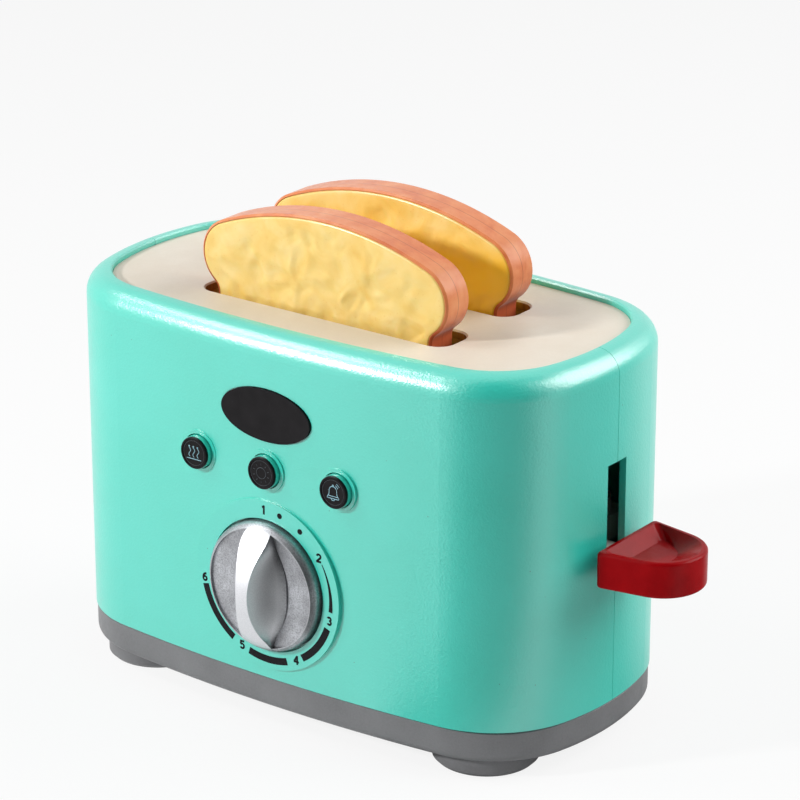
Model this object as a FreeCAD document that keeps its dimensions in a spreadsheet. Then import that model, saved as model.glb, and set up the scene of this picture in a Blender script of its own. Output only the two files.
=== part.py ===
# Toy pop-up toaster: two moulded shells on a base tray, a slotted deck, two slices of toast on a
# sprung carriage, a clockwork dial with a snail cam that works the carriage latch, and three push buttons.
#
# Frame: millimetres, +Z up, +X towards the lever, -Y towards the dial. The origin lies on the surface
# the feet stand on, midway between them.

import FreeCAD, Part
import math
import os
import Sketcher

from FreeCAD import Placement, Rotation, Vector

# Driving dimensions: alias, value in millimetres (or degrees, or a plain count), meaning.
SIZES = [
    ("body_length", 190.0, "housing, end to end"),
    ("body_depth", 102.2, "housing, front to rear"),
    ("front_radius", 582.0, "bow of the long sides"),
    ("end_radius", 90.0, "bow of the ends"),
    ("corner_radius", 34.0, "vertical corners"),
    ("wall", 2.4, "moulded wall"),
    ("shell_bottom", 16.8, "lower edge of the shells"),
    ("shell_top", 131.1, "top of the rim"),
    ("top_round", 7.5, "rounding of the rim, outside"),
    ("inner_bevel", 4.2, "bevel of the rim, inside"),
    ("rim_inset", 8.4, "rim's inner edge, in from the outside"),
    ("parting_half_gap", 0.1, "half of the line between the shells"),
    ("deck_drop", 1.8, "deck surface below the rim"),
    ("deck_thickness", 2.8, "deck plate"),
    ("deck_clearance", 0.15, "deck to rim, all round"),
    ("deck_flange_inset", 7.7, "edge of the deck's hidden flange"),
    ("slot_length", 95.4, "bread slot"),
    ("slot_width", 16.0, "bread slot"),
    ("slot_corner", 5.5, "bread slot corners"),
    ("edge_bevel", 0.5, "softened rim and slot edges"),
    ("slice_spacing", 34.0, "between the middles of the two slots"),
    ("well_gap", 0.4, "liner inside, beyond the slot"),
    ("well_wall", 1.4, "liner wall"),
    ("well_bottom", 60.8, "underside of the liners"),
    ("well_floor", 62.2, "floor of the liners"),
    ("gate_width", 11.0, "gate in the liner's end for the rack"),
    ("gate_top", 98.0, "top of that gate"),
    ("ear_length", 6.0, "screw ear at each end of a liner"),
    ("ear_width", 10.0, "screw ear"),
    ("ear_thickness", 2.0, "screw ear"),
    ("ear_screw_depth", 1.8, "screw holes in the deck"),
    ("tray_bottom", 6.0, "underside of the tray"),
    ("tray_top", 16.3, "tray's outer edge"),
    ("tray_inset", 0.4, "tray, in from the shells"),
    ("tray_round", 2.8, "tray's lower edge"),
    ("tray_bevel", 0.3, "tray's upper edge"),
    ("lip_inset", 2.6, "tray's lip inside the shells"),
    ("lip_top", 20.0, "top of the lip"),
    ("tray_inside_inset", 3.9, "tray's inner wall"),
    ("tray_floor_top", 8.4, "floor of the tray"),
    ("foot_x", 66.0, "feet from the middle"),
    ("foot_y", 26.5, "feet from the middle"),
    ("foot_radius", 16.8, "feet"),
    ("foot_bevel", 1.2, "lower edge of the feet"),
    ("foot_spigot_radius", 5.0, "spigot into the tray"),
    ("foot_bore_radius", 1.7, "screw hole"),
    ("foot_sink_radius", 4.0, "counterbore for the screw's head"),
    ("foot_sink_depth", 3.6, "counterbore"),
    ("base_screw_radius", 1.4, "self-tapping screw shank"),
    ("base_screw_head", 3.2, "screw head radius"),
    ("base_screw_head_height", 1.8, "screw head"),
    ("base_screw_tip", 24.0, "top of the screws"),
    ("post_radius", 4.5, "screw posts of the shells"),
    ("post_top", 45.0, "top of the screw posts"),
    ("post_bore_depth", 22.0, "screw hole in the posts"),
    ("rib_thickness", 2.0, "rib from post to wall and deck"),
    ("rib_reach", 36.0, "upper rib's free edge, from the middle"),
    ("dial_z", 48.7, "dial centre"),
    ("plate_radius", 28.2, "raised plate round the dial"),
    ("plate_proud", 0.7, "plate above the front"),
    ("plate_back", 46.0, "back of the thickened wall, from the middle"),
    ("dial_recess_radius", 22.1, "recess round the knob"),
    ("dial_recess_depth", 2.8, "recess, from the plate's face"),
    ("shaft_radius", 3.0, "dial shaft"),
    ("shaft_wall_hole", 3.5, "hole in the shell for the shaft"),
    ("knob_base_radius", 21.5, "knob"),
    ("knob_rim_radius", 21.2, "edge of the knob's crown"),
    ("knob_rim_round", 2.5, "rounding of that edge"),
    ("knob_rim_height", 4.3, "rim left round the scoops, out from the front"),
    ("knob_rim_sink", 0.05, "that rim, below the crown's surface"),
    ("knob_back", -1.8, "knob's back face, from the front"),
    ("knob_height", 13.5, "crown of the grip bar, out from the front"),
    ("knob_crown_radius", 26.2, "curve of the crown"),
    ("dish_height", 3.5, "floor of the finger scoops, out from the front"),
    ("dish_radius", 19.6, "edge of the finger scoops"),
    ("grip_half_width", 2.2, "grip bar's front edge at mid height"),
    ("grip_flare", 2.8, "how much wider it is near its ends"),
    ("grip_foot", 10.5, "foot of the bar's flank at mid height"),
    ("grip_foot_taper", 5.3, "how much narrower near its ends"),
    ("grip_end", 17.0, "where the flanks turn straight"),
    ("flank_hollow", 1.3, "hollow of the flanks"),
    ("flank_step", 0.6, "step at the foot of the flanks"),
    ("shaft_socket_depth", 8.0, "how far the shaft enters the knob"),
    ("button_z", 86.8, "button centres"),
    ("button_pitch", 27.3, "between buttons"),
    ("button_radius", 5.4, "plunger"),
    ("button_hole_radius", 5.75, "hole in the shell"),
    ("button_proud", 2.9, "button, out from the front"),
    ("button_flange_radius", 7.2, "flange behind the wall"),
    ("button_flange", 1.5, "flange thickness"),
    ("button_play", 0.75, "flange to wall at rest"),
    ("button_stem_radius", 2.6, "stem behind the flange"),
    ("stem_end", 41.6, "end of the stem, from the middle"),
    ("cap_radius", 5.2, "button cap"),
    ("cap_thickness", 0.9, "button cap"),
    ("cap_face", 0.6, "cap's face inside its raised rim"),
    ("cap_rim", 0.7, "width of that rim"),
    ("cap_pin_radius", 2.0, "pin under the cap"),
    ("cap_pin_length", 2.0, "pin under the cap"),
    ("collar_radius", 6.9, "raised ring round a button"),
    ("collar_proud", 0.5, "ring above the front"),
    ("label_z", 105.0, "label centre"),
    ("label_length", 34.4, "label"),
    ("label_height", 16.9, "label"),
    ("label_gap", 0.3, "label to the edge of its recess"),
    ("label_recess", 0.6, "recess depth"),
    ("label_thickness", 1.1, "label plate"),
    ("comb_back", 41.2, "spring comb's face, from the middle"),
    ("comb_thickness", 0.8, "spring strip"),
    ("comb_half_length", 42.0, "spring strip"),
    ("comb_height", 12.0, "spring strip"),
    ("comb_screw_x", 38.0, "its screws, from the middle"),
    ("tongue_length", 16.0, "spring tongue"),
    ("tongue_width", 4.0, "spring tongue"),
    ("tongue_slit", 1.0, "slit round a tongue"),
    ("small_post_radius", 3.2, "posts for small screws"),
    ("small_screw_radius", 1.0, "small screw shank"),
    ("small_screw_head", 2.0, "small screw head radius"),
    ("small_screw_head_height", 1.3, "small screw head"),
    ("small_screw_length", 5.0, "small screw shank"),
    ("lever_slot_half_width", 5.0, "lever slot"),
    ("lever_slot_bottom", 58.5, "lever slot"),
    ("lever_slot_top", 96.1, "lever slot"),
    ("handle_inner", 98.2, "handle's flat inner face"),
    ("handle_half_width", 16.1, "handle"),
    ("handle_end_radius", 13.9, "handle's round end"),
    ("handle_end", 125.5, "handle's tip"),
    ("handle_bottom", 61.0, "handle underside"),
    ("handle_top", 72.7, "handle top"),
    ("handle_corner", 1.6, "inner corners"),
    ("handle_edge_round", 1.1, "softened edges"),
    ("dish_rim", 1.9, "rim round the handle's dish"),
    ("dish_slope", 3.0, "run of the dish's side walls"),
    ("dish_inner_slope", 4.6, "run of the dish's inner wall"),
    ("dish_end_slope", 5.0, "extra run of the dish's round end"),
    ("dish_depth", 3.6, "handle's dish"),
    ("arm_half_width", 4.0, "carriage arm"),
    ("arm_bottom", 63.6, "carriage arm"),
    ("arm_top", 67.6, "carriage arm"),
    ("arm_end", 112.0, "end of the arm in the handle"),
    ("yoke_inner", 56.0, "yoke face towards the liners"),
    ("yoke_outer", 80.0, "yoke face towards the end wall"),
    ("yoke_half_width", 30.0, "yoke"),
    ("yoke_bottom", 60.0, "yoke"),
    ("yoke_top", 68.0, "yoke and racks"),
    ("yoke_wall", 2.0, "skirt of the yoke"),
    ("rack_bottom", 65.0, "racks"),
    ("rack_end", -46.0, "far end of the racks"),
    ("rack_half_width", 4.6, "racks"),
    ("rod_x", 74.0, "guide rods"),
    ("rod_y", 20.0, "guide rods"),
    ("rod_radius", 2.0, "guide rods"),
    ("rod_bottom", 40.0, "guide rods"),
    ("rod_top", 125.5, "guide rods"),
    ("rod_bore_radius", 2.05, "bores on the rods"),
    ("sleeve_radius", 5.0, "guide sleeves"),
    ("sleeve_bottom", 56.0, "guide sleeves"),
    ("sleeve_top", 74.0, "guide sleeves"),
    ("rod_post_radius", 5.0, "tray posts under the sleeves"),
    ("rod_post_top", 55.7, "stop for the sleeves"),
    ("rod_socket_bottom", 117.0, "deck sockets"),
    ("spring_x", 66.0, "return spring"),
    ("spring_radius", 4.6, "coil, to the wire's middle"),
    ("spring_wire", 1.0, "wire"),
    ("spring_bottom", 9.1, "lowest coil"),
    ("spring_top", 64.1, "highest coil"),
    ("spring_turns", 6.0, "coils"),
    ("spring_peg_radius", 3.4, "pegs that centre the spring"),
    ("spring_peg_height", 6.0, "pegs that centre the spring"),
    ("slice_thickness", 11.5, "toast"),
    ("slice_top", 160.3, "crown of the crust, lowered"),
    ("slice_bottom", 68.3, "underside of the crust, lowered"),
    ("crown_radius", 106.0, "crown"),
    ("lobe_radius", 12.0, "lobes"),
    ("lobe_reach", 47.7, "lobes from the middle"),
    ("neck_radius", 3.6, "hollow under a lobe"),
    ("waist", 41.6, "sides of the slice from the middle"),
    ("slice_corner", 9.0, "lower corners"),
    ("crust_bevel", 0.6, "edge of the crust"),
    ("crumb_inset", 0.8, "crumb plate, in from the crust"),
    ("crumb_recess", 1.4, "recess for a crumb plate"),
    ("crumb_thickness", 1.7, "crumb plate"),
    ("crumb_gap", 0.1, "crumb plate to its recess"),
    ("crumb_bevel", 0.5, "edge of a crumb plate"),
    ("crust_web", 1.2, "wall behind a crumb plate"),
    ("crust_wall", 2.6, "crust, from outside to hollow"),
    ("timer_half_width", 19.0, "clockwork case"),
    ("timer_front", 46.0, "case, from the middle"),
    ("timer_back", 30.6, "case, from the middle"),
    ("timer_corner", 3.0, "case corners"),
    ("timer_bore_radius", 3.05, "bearing for the shaft"),
    ("timer_ear", 9.0, "screw ear beyond the case"),
    ("timer_ear_height", 9.0, "screw ear"),
    ("timer_screw_x", 25.0, "its screws, from the middle"),
    ("timer_ear_thickness", 2.0, "screw ear"),
    ("cam_front", 29.9, "snail cam, from the middle"),
    ("cam_thickness", 2.2, "snail cam"),
    ("cam_high", 14.0, "cam radius with the dial at rest"),
    ("cam_low", 7.4, "cam radius at the last mark"),
    ("dial_range", 262.0, "turn of the dial, degrees"),
    ("latch_x", 46.0, "latch pivot"),
    ("latch_z", 38.0, "latch pivot"),
    ("latch_hub_radius", 4.2, "latch hub"),
    ("latch_bore_radius", 1.55, "latch bore"),
    ("latch_pin_radius", 1.5, "latch pin"),
    ("latch_pin_grip", 10.0, "pin in its post"),
    ("latch_pin_head", 2.6, "head of the latch pin"),
    ("latch_arm_width", 4.4, "latch arms"),
    ("follower_radius", 1.8, "round nose on the cam"),
    ("follower_gap", 0.3, "nose to cam"),
    ("hook_reach", 55.5, "hook's nose, latch released"),
    ("hook_bottom", 70.2, "hook's underside, latch released"),
    ("hook_height", 4.0, "hook"),
]

FEET = {
    "foot_front_left": (-1, -1),
    "foot_front_right": (1, -1),
    "foot_rear_left": (-1, 1),
    "foot_rear_right": (1, 1),
}
BUTTONS = {"button_left": -1, "button_middle": 0, "button_right": 1}
SLICES = {"toast_front": -1, "toast_rear": 1}
EAR_X = "slot_length / 2 + well_gap + well_wall + ear_length / 2"
TURN = 2 * math.pi

doc = FreeCAD.newDocument("toy_toaster")
sheet = doc.addObject("Spreadsheet::Sheet", "Sizes")
for row, (alias, value, meaning) in enumerate(SIZES, start=1):
    sheet.set(f"A{row}", alias)
    sheet.set(f"B{row}", str(value))
    sheet.set(f"C{row}", meaning)
    sheet.setAlias(f"B{row}", alias)
doc.recompute()

ALIASES = {alias for alias, _, _ in SIZES}
parts = []


def bound(expression):
    """The expression with every alias written as a reference to the sheet."""
    out, word = "", ""
    for character in expression + " ":
        if character.isalnum() or character == "_":
            word += character
            continue
        out += f"Sizes.{word}" if word in ALIASES else word
        out += character
        word = ""
    return out.strip()


def size(expression):
    """The value of an expression of aliases, in millimetres or degrees."""
    return float(sheet.evalExpression(bound(str(expression))))


def bind(thing, name, expression):
    """Bind a property to an expression of the sheet's cells."""
    thing.setExpression(name, bound(str(expression)))


# ---------------------------------------------------------------- sketches


def new_body(label):
    """A PartDesign body that becomes one sub-part."""
    body = doc.addObject("PartDesign::Body", label)
    body.Label = label
    parts.append(body)
    return body


def sketch_on(body, plane, offset="0"):
    """A sketch on one of the body's own origin planes, moved along the plane's normal."""
    sketch = body.newObject("Sketcher::SketchObject", f"{body.Label}_sketch")
    support = [f for f in body.Origin.OriginFeatures if f.Role == plane][0]
    sketch.AttachmentSupport = [(support, "")]
    sketch.MapMode = "FlatFace"
    bind(sketch, "AttachmentOffset.Base.z", offset)
    return sketch


def fix(sketch, kind, *what, to):
    """Add a dimension to a sketch and bind it to the sheet."""
    index = sketch.addConstraint(Sketcher.Constraint(kind, *what, size(to)))
    bind(sketch, f"Constraints[{index}]", to)


def place(sketch, piece, point, x, y):
    """Fix a point of a piece of geometry, from the sketch's origin."""
    for kind, value, axis in (("DistanceX", x, -2), ("DistanceY", y, -1)):
        if abs(size(value)) < 1e-9:
            sketch.addConstraint(Sketcher.Constraint("PointOnObject", piece, point, axis))
        else:
            fix(sketch, kind, -1, 1, piece, point, to=value)


def circle(sketch, x, y, radius):
    """A circle fixed by its centre and radius."""
    shape = Part.Circle(Vector(size(x), size(y), 0), Vector(0, 0, 1), size(radius))
    piece = sketch.addGeometry(shape, False)
    place(sketch, piece, 3, x, y)
    fix(sketch, "Radius", piece, to=radius)


def rectangle(sketch, left, bottom, right, top):
    """A rectangle fixed by two corners."""
    x0, y0, x1, y1 = size(left), size(bottom), size(right), size(top)
    corners = [Vector(x0, y0, 0), Vector(x1, y0, 0), Vector(x1, y1, 0), Vector(x0, y1, 0)]
    first = sketch.GeometryCount
    for index in range(4):
        sketch.addGeometry(Part.LineSegment(corners[index], corners[(index + 1) % 4]), False)
    for index in range(4):
        following = first + (index + 1) % 4
        sketch.addConstraint(Sketcher.Constraint("Coincident", first + index, 2, following, 1))
        level = "Horizontal" if index % 2 == 0 else "Vertical"
        sketch.addConstraint(Sketcher.Constraint(level, first + index))
    place(sketch, first, 1, left, bottom)
    place(sketch, first + 2, 1, right, top)


def polygon(sketch, corners):
    """A closed outline of straight lines, each corner fixed from the sketch's origin."""
    points = [Vector(size(x), size(y), 0) for x, y in corners]
    first, count = sketch.GeometryCount, len(points)
    for index in range(count):
        sketch.addGeometry(Part.LineSegment(points[index], points[(index + 1) % count]), False)
    for index in range(count):
        following = first + (index + 1) % count
        sketch.addConstraint(Sketcher.Constraint("Coincident", first + index, 2, following, 1))
        place(sketch, first + index, 1, *corners[index])


def arc(centre, radius, start, end):
    """A circular arc, counter-clockwise from one angle to another."""
    return Part.ArcOfCircle(Part.Circle(Vector(*centre, 0), Vector(0, 0, 1), radius), start, end)


def join(sketch, pieces, straight_joints=()):
    """Add a closed chain of lines and arcs, tangent at every joint but the listed ones."""
    first, count = sketch.GeometryCount, len(pieces)
    for piece in pieces:
        sketch.addGeometry(piece, False)
    for index in range(count):
        after = (index + 1) % count
        here, there = pieces[index], pieces[after]
        pairs = [
            (one.distanceToPoint(other), end, start)
            for end, one in ((1, here.StartPoint), (2, here.EndPoint))
            for start, other in ((1, there.StartPoint), (2, there.EndPoint))
        ]
        _, end, start = min(pairs)
        kind = "Coincident" if index in straight_joints else "Tangent"
        sketch.addConstraint(Sketcher.Constraint(kind, first + index, end, first + after, start))
    return first


def rounded_slot(sketch, x, y, length, width, corner):
    """A rectangle with rounded corners about a centre."""
    half_x, half_y = f"({length}) / 2", f"({width}) / 2"
    cx, cy, hx, hy, r = (size(v) for v in (x, y, half_x, half_y, corner))
    quarter = math.pi / 2
    pieces = []
    for turn, (sx, sy) in enumerate(((1, -1), (1, 1), (-1, 1), (-1, -1))):
        middle = (cx + sx * (hx - r), cy + sy * (hy - r))
        pieces.append(arc(middle, r, (turn - 1) * quarter, turn * quarter))
    chain = []
    for index, piece in enumerate(pieces):
        chain.append(piece)
        chain.append(Part.LineSegment(piece.EndPoint, pieces[(index + 1) % 4].StartPoint))
    first = join(sketch, chain)
    for index, (sx, sy) in enumerate(((1, -1), (1, 1), (-1, 1), (-1, -1))):
        side_x = f"{x} + {sx} * ({half_x} - ({corner}))"
        side_y = f"{y} + {sy} * ({half_y} - ({corner}))"
        place(sketch, first + 2 * index, 3, side_x, side_y)
    fix(sketch, "Radius", first, to=corner)


# ---------------------------------------------------------------- features


def pad(body, sketch, length, reverse=False, midplane=False):
    """Extrude a sketch along its plane's normal."""
    feature = body.newObject("PartDesign::Pad", f"{body.Label}_pad")
    feature.Profile = sketch
    feature.Reversed = reverse
    feature.Midplane = midplane
    bind(feature, "Length", length)
    doc.recompute()
    return feature


def pocket(body, sketch, length, reverse=False, midplane=False):
    """Cut a sketch against its plane's normal, and make sure that it cut something."""
    before = body.Shape.Volume
    feature = body.newObject("PartDesign::Pocket", f"{body.Label}_pocket")
    feature.Profile = sketch
    feature.Reversed = reverse
    feature.Midplane = midplane
    bind(feature, "Length", length)
    doc.recompute()
    if body.Shape.Volume > before - 1e-3:
        raise RuntimeError(f"{feature.Name} cuts nothing")
    return feature


def revolve(body, sketch, axis):
    """Turn a sketch a full circle about one of its own axes."""
    feature = body.newObject("PartDesign::Revolution", f"{body.Label}_revolution")
    feature.Profile = sketch
    feature.ReferenceAxis = (sketch, [axis])
    feature.Angle = 360
    doc.recompute()
    return feature


def soften(body, chosen, radius, kind="Fillet"):
    """Round or bevel the edges of the body's last feature that the test picks."""
    base = body.Tip
    names = [f"Edge{n}" for n, edge in enumerate(base.Shape.Edges, start=1) if chosen(edge)]
    feature = body.newObject(f"PartDesign::{kind}", f"{body.Label}_{kind.lower()}")
    feature.Base = (base, names)
    bind(feature, "Radius" if kind == "Fillet" else "Size", radius)
    doc.recompute()
    return feature


def level_at(height, longer_than=0.0, inside=None, axis="Z"):
    """A test for edges that lie in the plane z = height, or y = height."""

    def test(edge):
        box = edge.BoundBox
        low, high = (box.ZMin, box.ZMax) if axis == "Z" else (box.YMin, box.YMax)
        flat = abs(low - height) < 1e-4 and abs(high - height) < 1e-4
        near = inside is None or inside(box.Center)
        return flat and near and edge.Length > longer_than

    return test


def mirrored(body, features, plane):
    """The mirror image of features about one of the body's origin planes."""
    feature = body.newObject("PartDesign::Mirrored", f"{body.Label}_mirror")
    feature.Originals = features
    support = [f for f in body.Origin.OriginFeatures if f.Role == plane][0]
    feature.MirrorPlane = (support, [""])
    body.Tip = feature
    doc.recompute()
    return feature


def front_drop(x):
    """How far the bowed front lies behind its foremost point, at x from the middle."""
    radius = size("front_radius")
    return radius - math.sqrt(radius**2 - x**2)


# ---------------------------------------------------------------- housing


def corner_centre():
    """Centre of the housing's front right corner, tangent inside the front and end bows."""
    bow_y, end_x = size("front_radius - body_depth / 2"), size("body_length / 2 - end_radius")
    to_bow, to_end = size("front_radius - corner_radius"), size("end_radius - corner_radius")
    apart = math.hypot(end_x, bow_y)
    along = (to_end**2 - to_bow**2 + apart**2) / (2 * apart)
    across = math.sqrt(to_end**2 - along**2)
    ux, uy = -end_x / apart, bow_y / apart
    return end_x + ux * along + uy * across, uy * along - ux * across


def housing_outline(sketch, inset, half=0):
    """The housing's bowed outline, inset, whole (0) or its front (-1) or rear (1) half."""
    shift = size(inset)
    half_depth, half_length = size("body_depth / 2"), size("body_length / 2")
    bow, end, corner = (size(f"{n}_radius") - shift for n in ("front", "end", "corner"))
    gap = size("parting_half_gap")
    bow_y, end_x = size("front_radius") - half_depth, half_length - size("end_radius")
    corner_x, corner_y = corner_centre()
    bow_turn = math.atan2(corner_y - bow_y, corner_x)
    end_turn = math.atan2(corner_y, corner_x - end_x)
    cut_turn = -math.asin(gap / end)

    def front_half(lowest):
        right = arc((end_x, 0), end, end_turn, lowest)
        right_corner = arc((corner_x, corner_y), corner, bow_turn, end_turn)
        front = arc((0, bow_y), bow, math.pi - bow_turn - TURN, bow_turn)
        left_corner = arc((-corner_x, corner_y), corner, math.pi - end_turn, math.pi - bow_turn)
        left = arc((-end_x, 0), end, math.pi - lowest, math.pi - end_turn)
        return [left, left_corner, front, right_corner, right]

    if half:
        pieces = front_half(cut_turn)
        pieces.append(Part.LineSegment(pieces[-1].EndPoint, pieces[0].StartPoint))
        if half > 0:
            pieces = [turned_back(piece) for piece in pieces]
        first = join(sketch, pieces, straight_joints=(4, 5))
        sketch.addConstraint(Sketcher.Constraint("Horizontal", first + 5))
        fix(sketch, "DistanceY", -1, 1, first + 5, 1, to=f"{half} * parting_half_gap")
        arcs = {2: "front", 0: "end", 4: "end", 1: "corner", 3: "corner"}
        ends = {0: half, 4: -half}
        fronts = {2: -half}
    else:
        near = front_half(0.0)
        far = [turned_back(piece) for piece in near]
        pieces = [near[1], near[2], near[3], whole_end(near[4]), far[1], far[2], far[3], whole_end(far[4])]
        first = join(sketch, pieces)
        arcs = {index: "corner" for index in (0, 2, 4, 6)}
        arcs.update({1: "front", 5: "front", 3: "end", 7: "end"})
        ends = {3: 1, 7: -1}
        fronts = {1: 1, 5: -1}
    for index, name in arcs.items():
        fix(sketch, "Radius", first + index, to=f"{name}_radius - ({inset})")
    for index, side in ends.items():
        side = side if half == 0 else (-1 if pieces[index].Center.x < 0 else 1)
        place(sketch, first + index, 3, f"{side} * (body_length / 2 - end_radius)", "0")
    for index, side in fronts.items():
        side = side if half == 0 else -half
        place(sketch, first + index, 3, "0", f"{side} * (front_radius - body_depth / 2)")


def turned_back(piece):
    """A line or arc of the front half, turned half a turn about the origin to the rear."""
    if isinstance(piece, Part.LineSegment):
        return Part.LineSegment(piece.StartPoint * -1, piece.EndPoint * -1)
    centre = piece.Center
    start, end = piece.FirstParameter + math.pi, piece.LastParameter + math.pi
    return arc((-centre.x, -centre.y), piece.Radius, start, end)


def whole_end(piece):
    """The end arc that stops at the middle, carried on to its mirror image."""
    start, end = piece.FirstParameter, piece.LastParameter
    return arc((piece.Center.x, piece.Center.y), piece.Radius, start, end + end - start)


def add_screw_posts(body, side):
    """The posts that the base screws go up into, each with its rib to the wall and the deck."""
    for end in (-1, 1):
        x, y = f"{end} * foot_x", f"{side} * foot_y"
        sketch = sketch_on(body, "XY_Plane", "tray_floor_top")
        circle(sketch, x, y, "post_radius")
        pad(body, sketch, "post_top - tray_floor_top")
        sketch = sketch_on(body, "YZ_Plane", f"{x}")
        wall, reach = f"{side} * (body_depth / 2 - 5.2)", f"{side} * rib_reach"
        low, slope, deck = "lip_top + 4", "post_top + 12", "shell_top - deck_drop - deck_thickness"
        corners = [(y, low), (y, "post_top"), (reach, slope), (reach, deck), (wall, deck), (wall, low)]
        polygon(sketch, corners)
        pad(body, sketch, "rib_thickness", midplane=True)
        sketch = sketch_on(body, "XY_Plane", "tray_floor_top + post_bore_depth")
        circle(sketch, x, y, "base_screw_radius")
        pocket(body, sketch, "post_bore_depth")


def shell(label, side):
    """One moulded half of the housing, front (-1) or rear (1)."""
    body = new_body(label)
    sketch = sketch_on(body, "XY_Plane", "shell_bottom")
    housing_outline(sketch, "0", side)
    pad(body, sketch, "shell_top - shell_bottom")
    away = size("parting_half_gap") * 2
    outside = level_at(size("shell_top"), inside=lambda c: side * c.y > away)
    soften(body, outside, "top_round")
    sketch = sketch_on(body, "XY_Plane", "shell_top - wall")
    housing_outline(sketch, "wall")
    pocket(body, sketch, "shell_top - wall - shell_bottom")
    roof = level_at(size("shell_top - wall"), inside=lambda c: side * c.y > away)
    soften(body, roof, "inner_bevel", "Chamfer")
    sketch = sketch_on(body, "XY_Plane", "shell_top")
    housing_outline(sketch, "rim_inset")
    pocket(body, sketch, "wall + 1")
    rim = level_at(size("shell_top"), 20.0, lambda c: side * c.y > away)
    soften(body, rim, "edge_bevel", "Chamfer")
    sketch = sketch_on(body, "YZ_Plane", "body_length / 2 + 1")
    edges = sorted((f"{side} * lever_slot_half_width", "0"), key=size)
    rectangle(sketch, edges[0], "lever_slot_bottom", edges[1], "lever_slot_top")
    pocket(body, sketch, "wall + 3")
    add_screw_posts(body, side)
    return body


def front_shell():
    """The front half, with everything that the dial, buttons and label sit in."""
    body = shell("front_shell", -1)
    front = "body_depth / 2"
    # thick round plate for the dial
    sketch = sketch_on(body, "XZ_Plane", "plate_back")
    circle(sketch, "0", "dial_z", "plate_radius")
    pad(body, sketch, f"{front} + plate_proud - plate_back")
    # collars and their thickened seats
    for side in BUTTONS.values():
        drop = front_drop(side * size("button_pitch"))
        sketch = sketch_on(body, "XZ_Plane", f"{front} - wall")
        circle(sketch, f"{side} * button_pitch", "button_z", "collar_radius")
        pad(body, sketch, f"wall + collar_proud - {drop}")
    # posts for the spring comb and the latch pin
    for x, z, back in (
        ("-comb_screw_x", "button_z", "comb_back"),
        ("comb_screw_x", "button_z", "comb_back"),
        ("latch_x", "latch_z", "timer_back"),
    ):
        sketch = sketch_on(body, "XZ_Plane", back)
        circle(sketch, x, z, "small_post_radius")
        drop = front_drop(size(x))
        pad(body, sketch, f"{front} - wall / 2 - {drop} - ({back})")
    # recess and hole for the dial, holes for the buttons, recess for the label
    sketch = sketch_on(body, "XZ_Plane", f"{front} + plate_proud")
    circle(sketch, "0", "dial_z", "dial_recess_radius")
    pocket(body, sketch, "dial_recess_depth")
    sketch = sketch_on(body, "XZ_Plane", f"{front} + plate_proud")
    circle(sketch, "0", "dial_z", "shaft_wall_hole")
    pocket(body, sketch, "plate_proud + body_depth / 2 - plate_back + 1")
    for side in BUTTONS.values():
        sketch = sketch_on(body, "XZ_Plane", f"{front} + 1")
        circle(sketch, f"{side} * button_pitch", "button_z", "button_hole_radius")
        pocket(body, sketch, "wall + 2")
    sketch = sketch_on(body, "XZ_Plane", f"{front} + 1")
    ellipse(sketch, "0", "label_z", "label_length / 2 + label_gap", "label_height / 2 + label_gap")
    pocket(body, sketch, "1 + label_recess")
    # screw and pin holes in the posts and in the dial's thick wall
    comb_hole = "button_z", "comb_back", "small_screw_radius", "small_screw_length - comb_thickness"
    timer_hole = "dial_z", "plate_back", "small_screw_radius", "small_screw_length - timer_ear_thickness"
    for x, z, back, bore, depth in (
        ("-comb_screw_x", *comb_hole),
        ("comb_screw_x", *comb_hole),
        ("-timer_screw_x", *timer_hole),
        ("timer_screw_x", *timer_hole),
        ("latch_x", "latch_z", "timer_back", "latch_pin_radius", "latch_pin_grip"),
    ):
        sketch = sketch_on(body, "XZ_Plane", back)
        circle(sketch, x, z, bore)
        pocket(body, sketch, depth, reverse=True)
    return body


def ellipse(sketch, x, y, half_width, half_height):
    """An upright ellipse fixed by its centre and its two half axes."""
    cx, cy, major, minor = (size(v) for v in (x, y, half_width, half_height))
    shape = Part.Ellipse(Vector(cx + major, cy, 0), Vector(cx, cy + minor, 0), Vector(cx, cy, 0))
    piece = sketch.addGeometry(shape, False)
    sketch.exposeInternalGeometry(piece)
    place(sketch, piece, 3, x, y)
    place(sketch, piece + 1, 1, f"{x} + ({half_width})", y)


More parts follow.
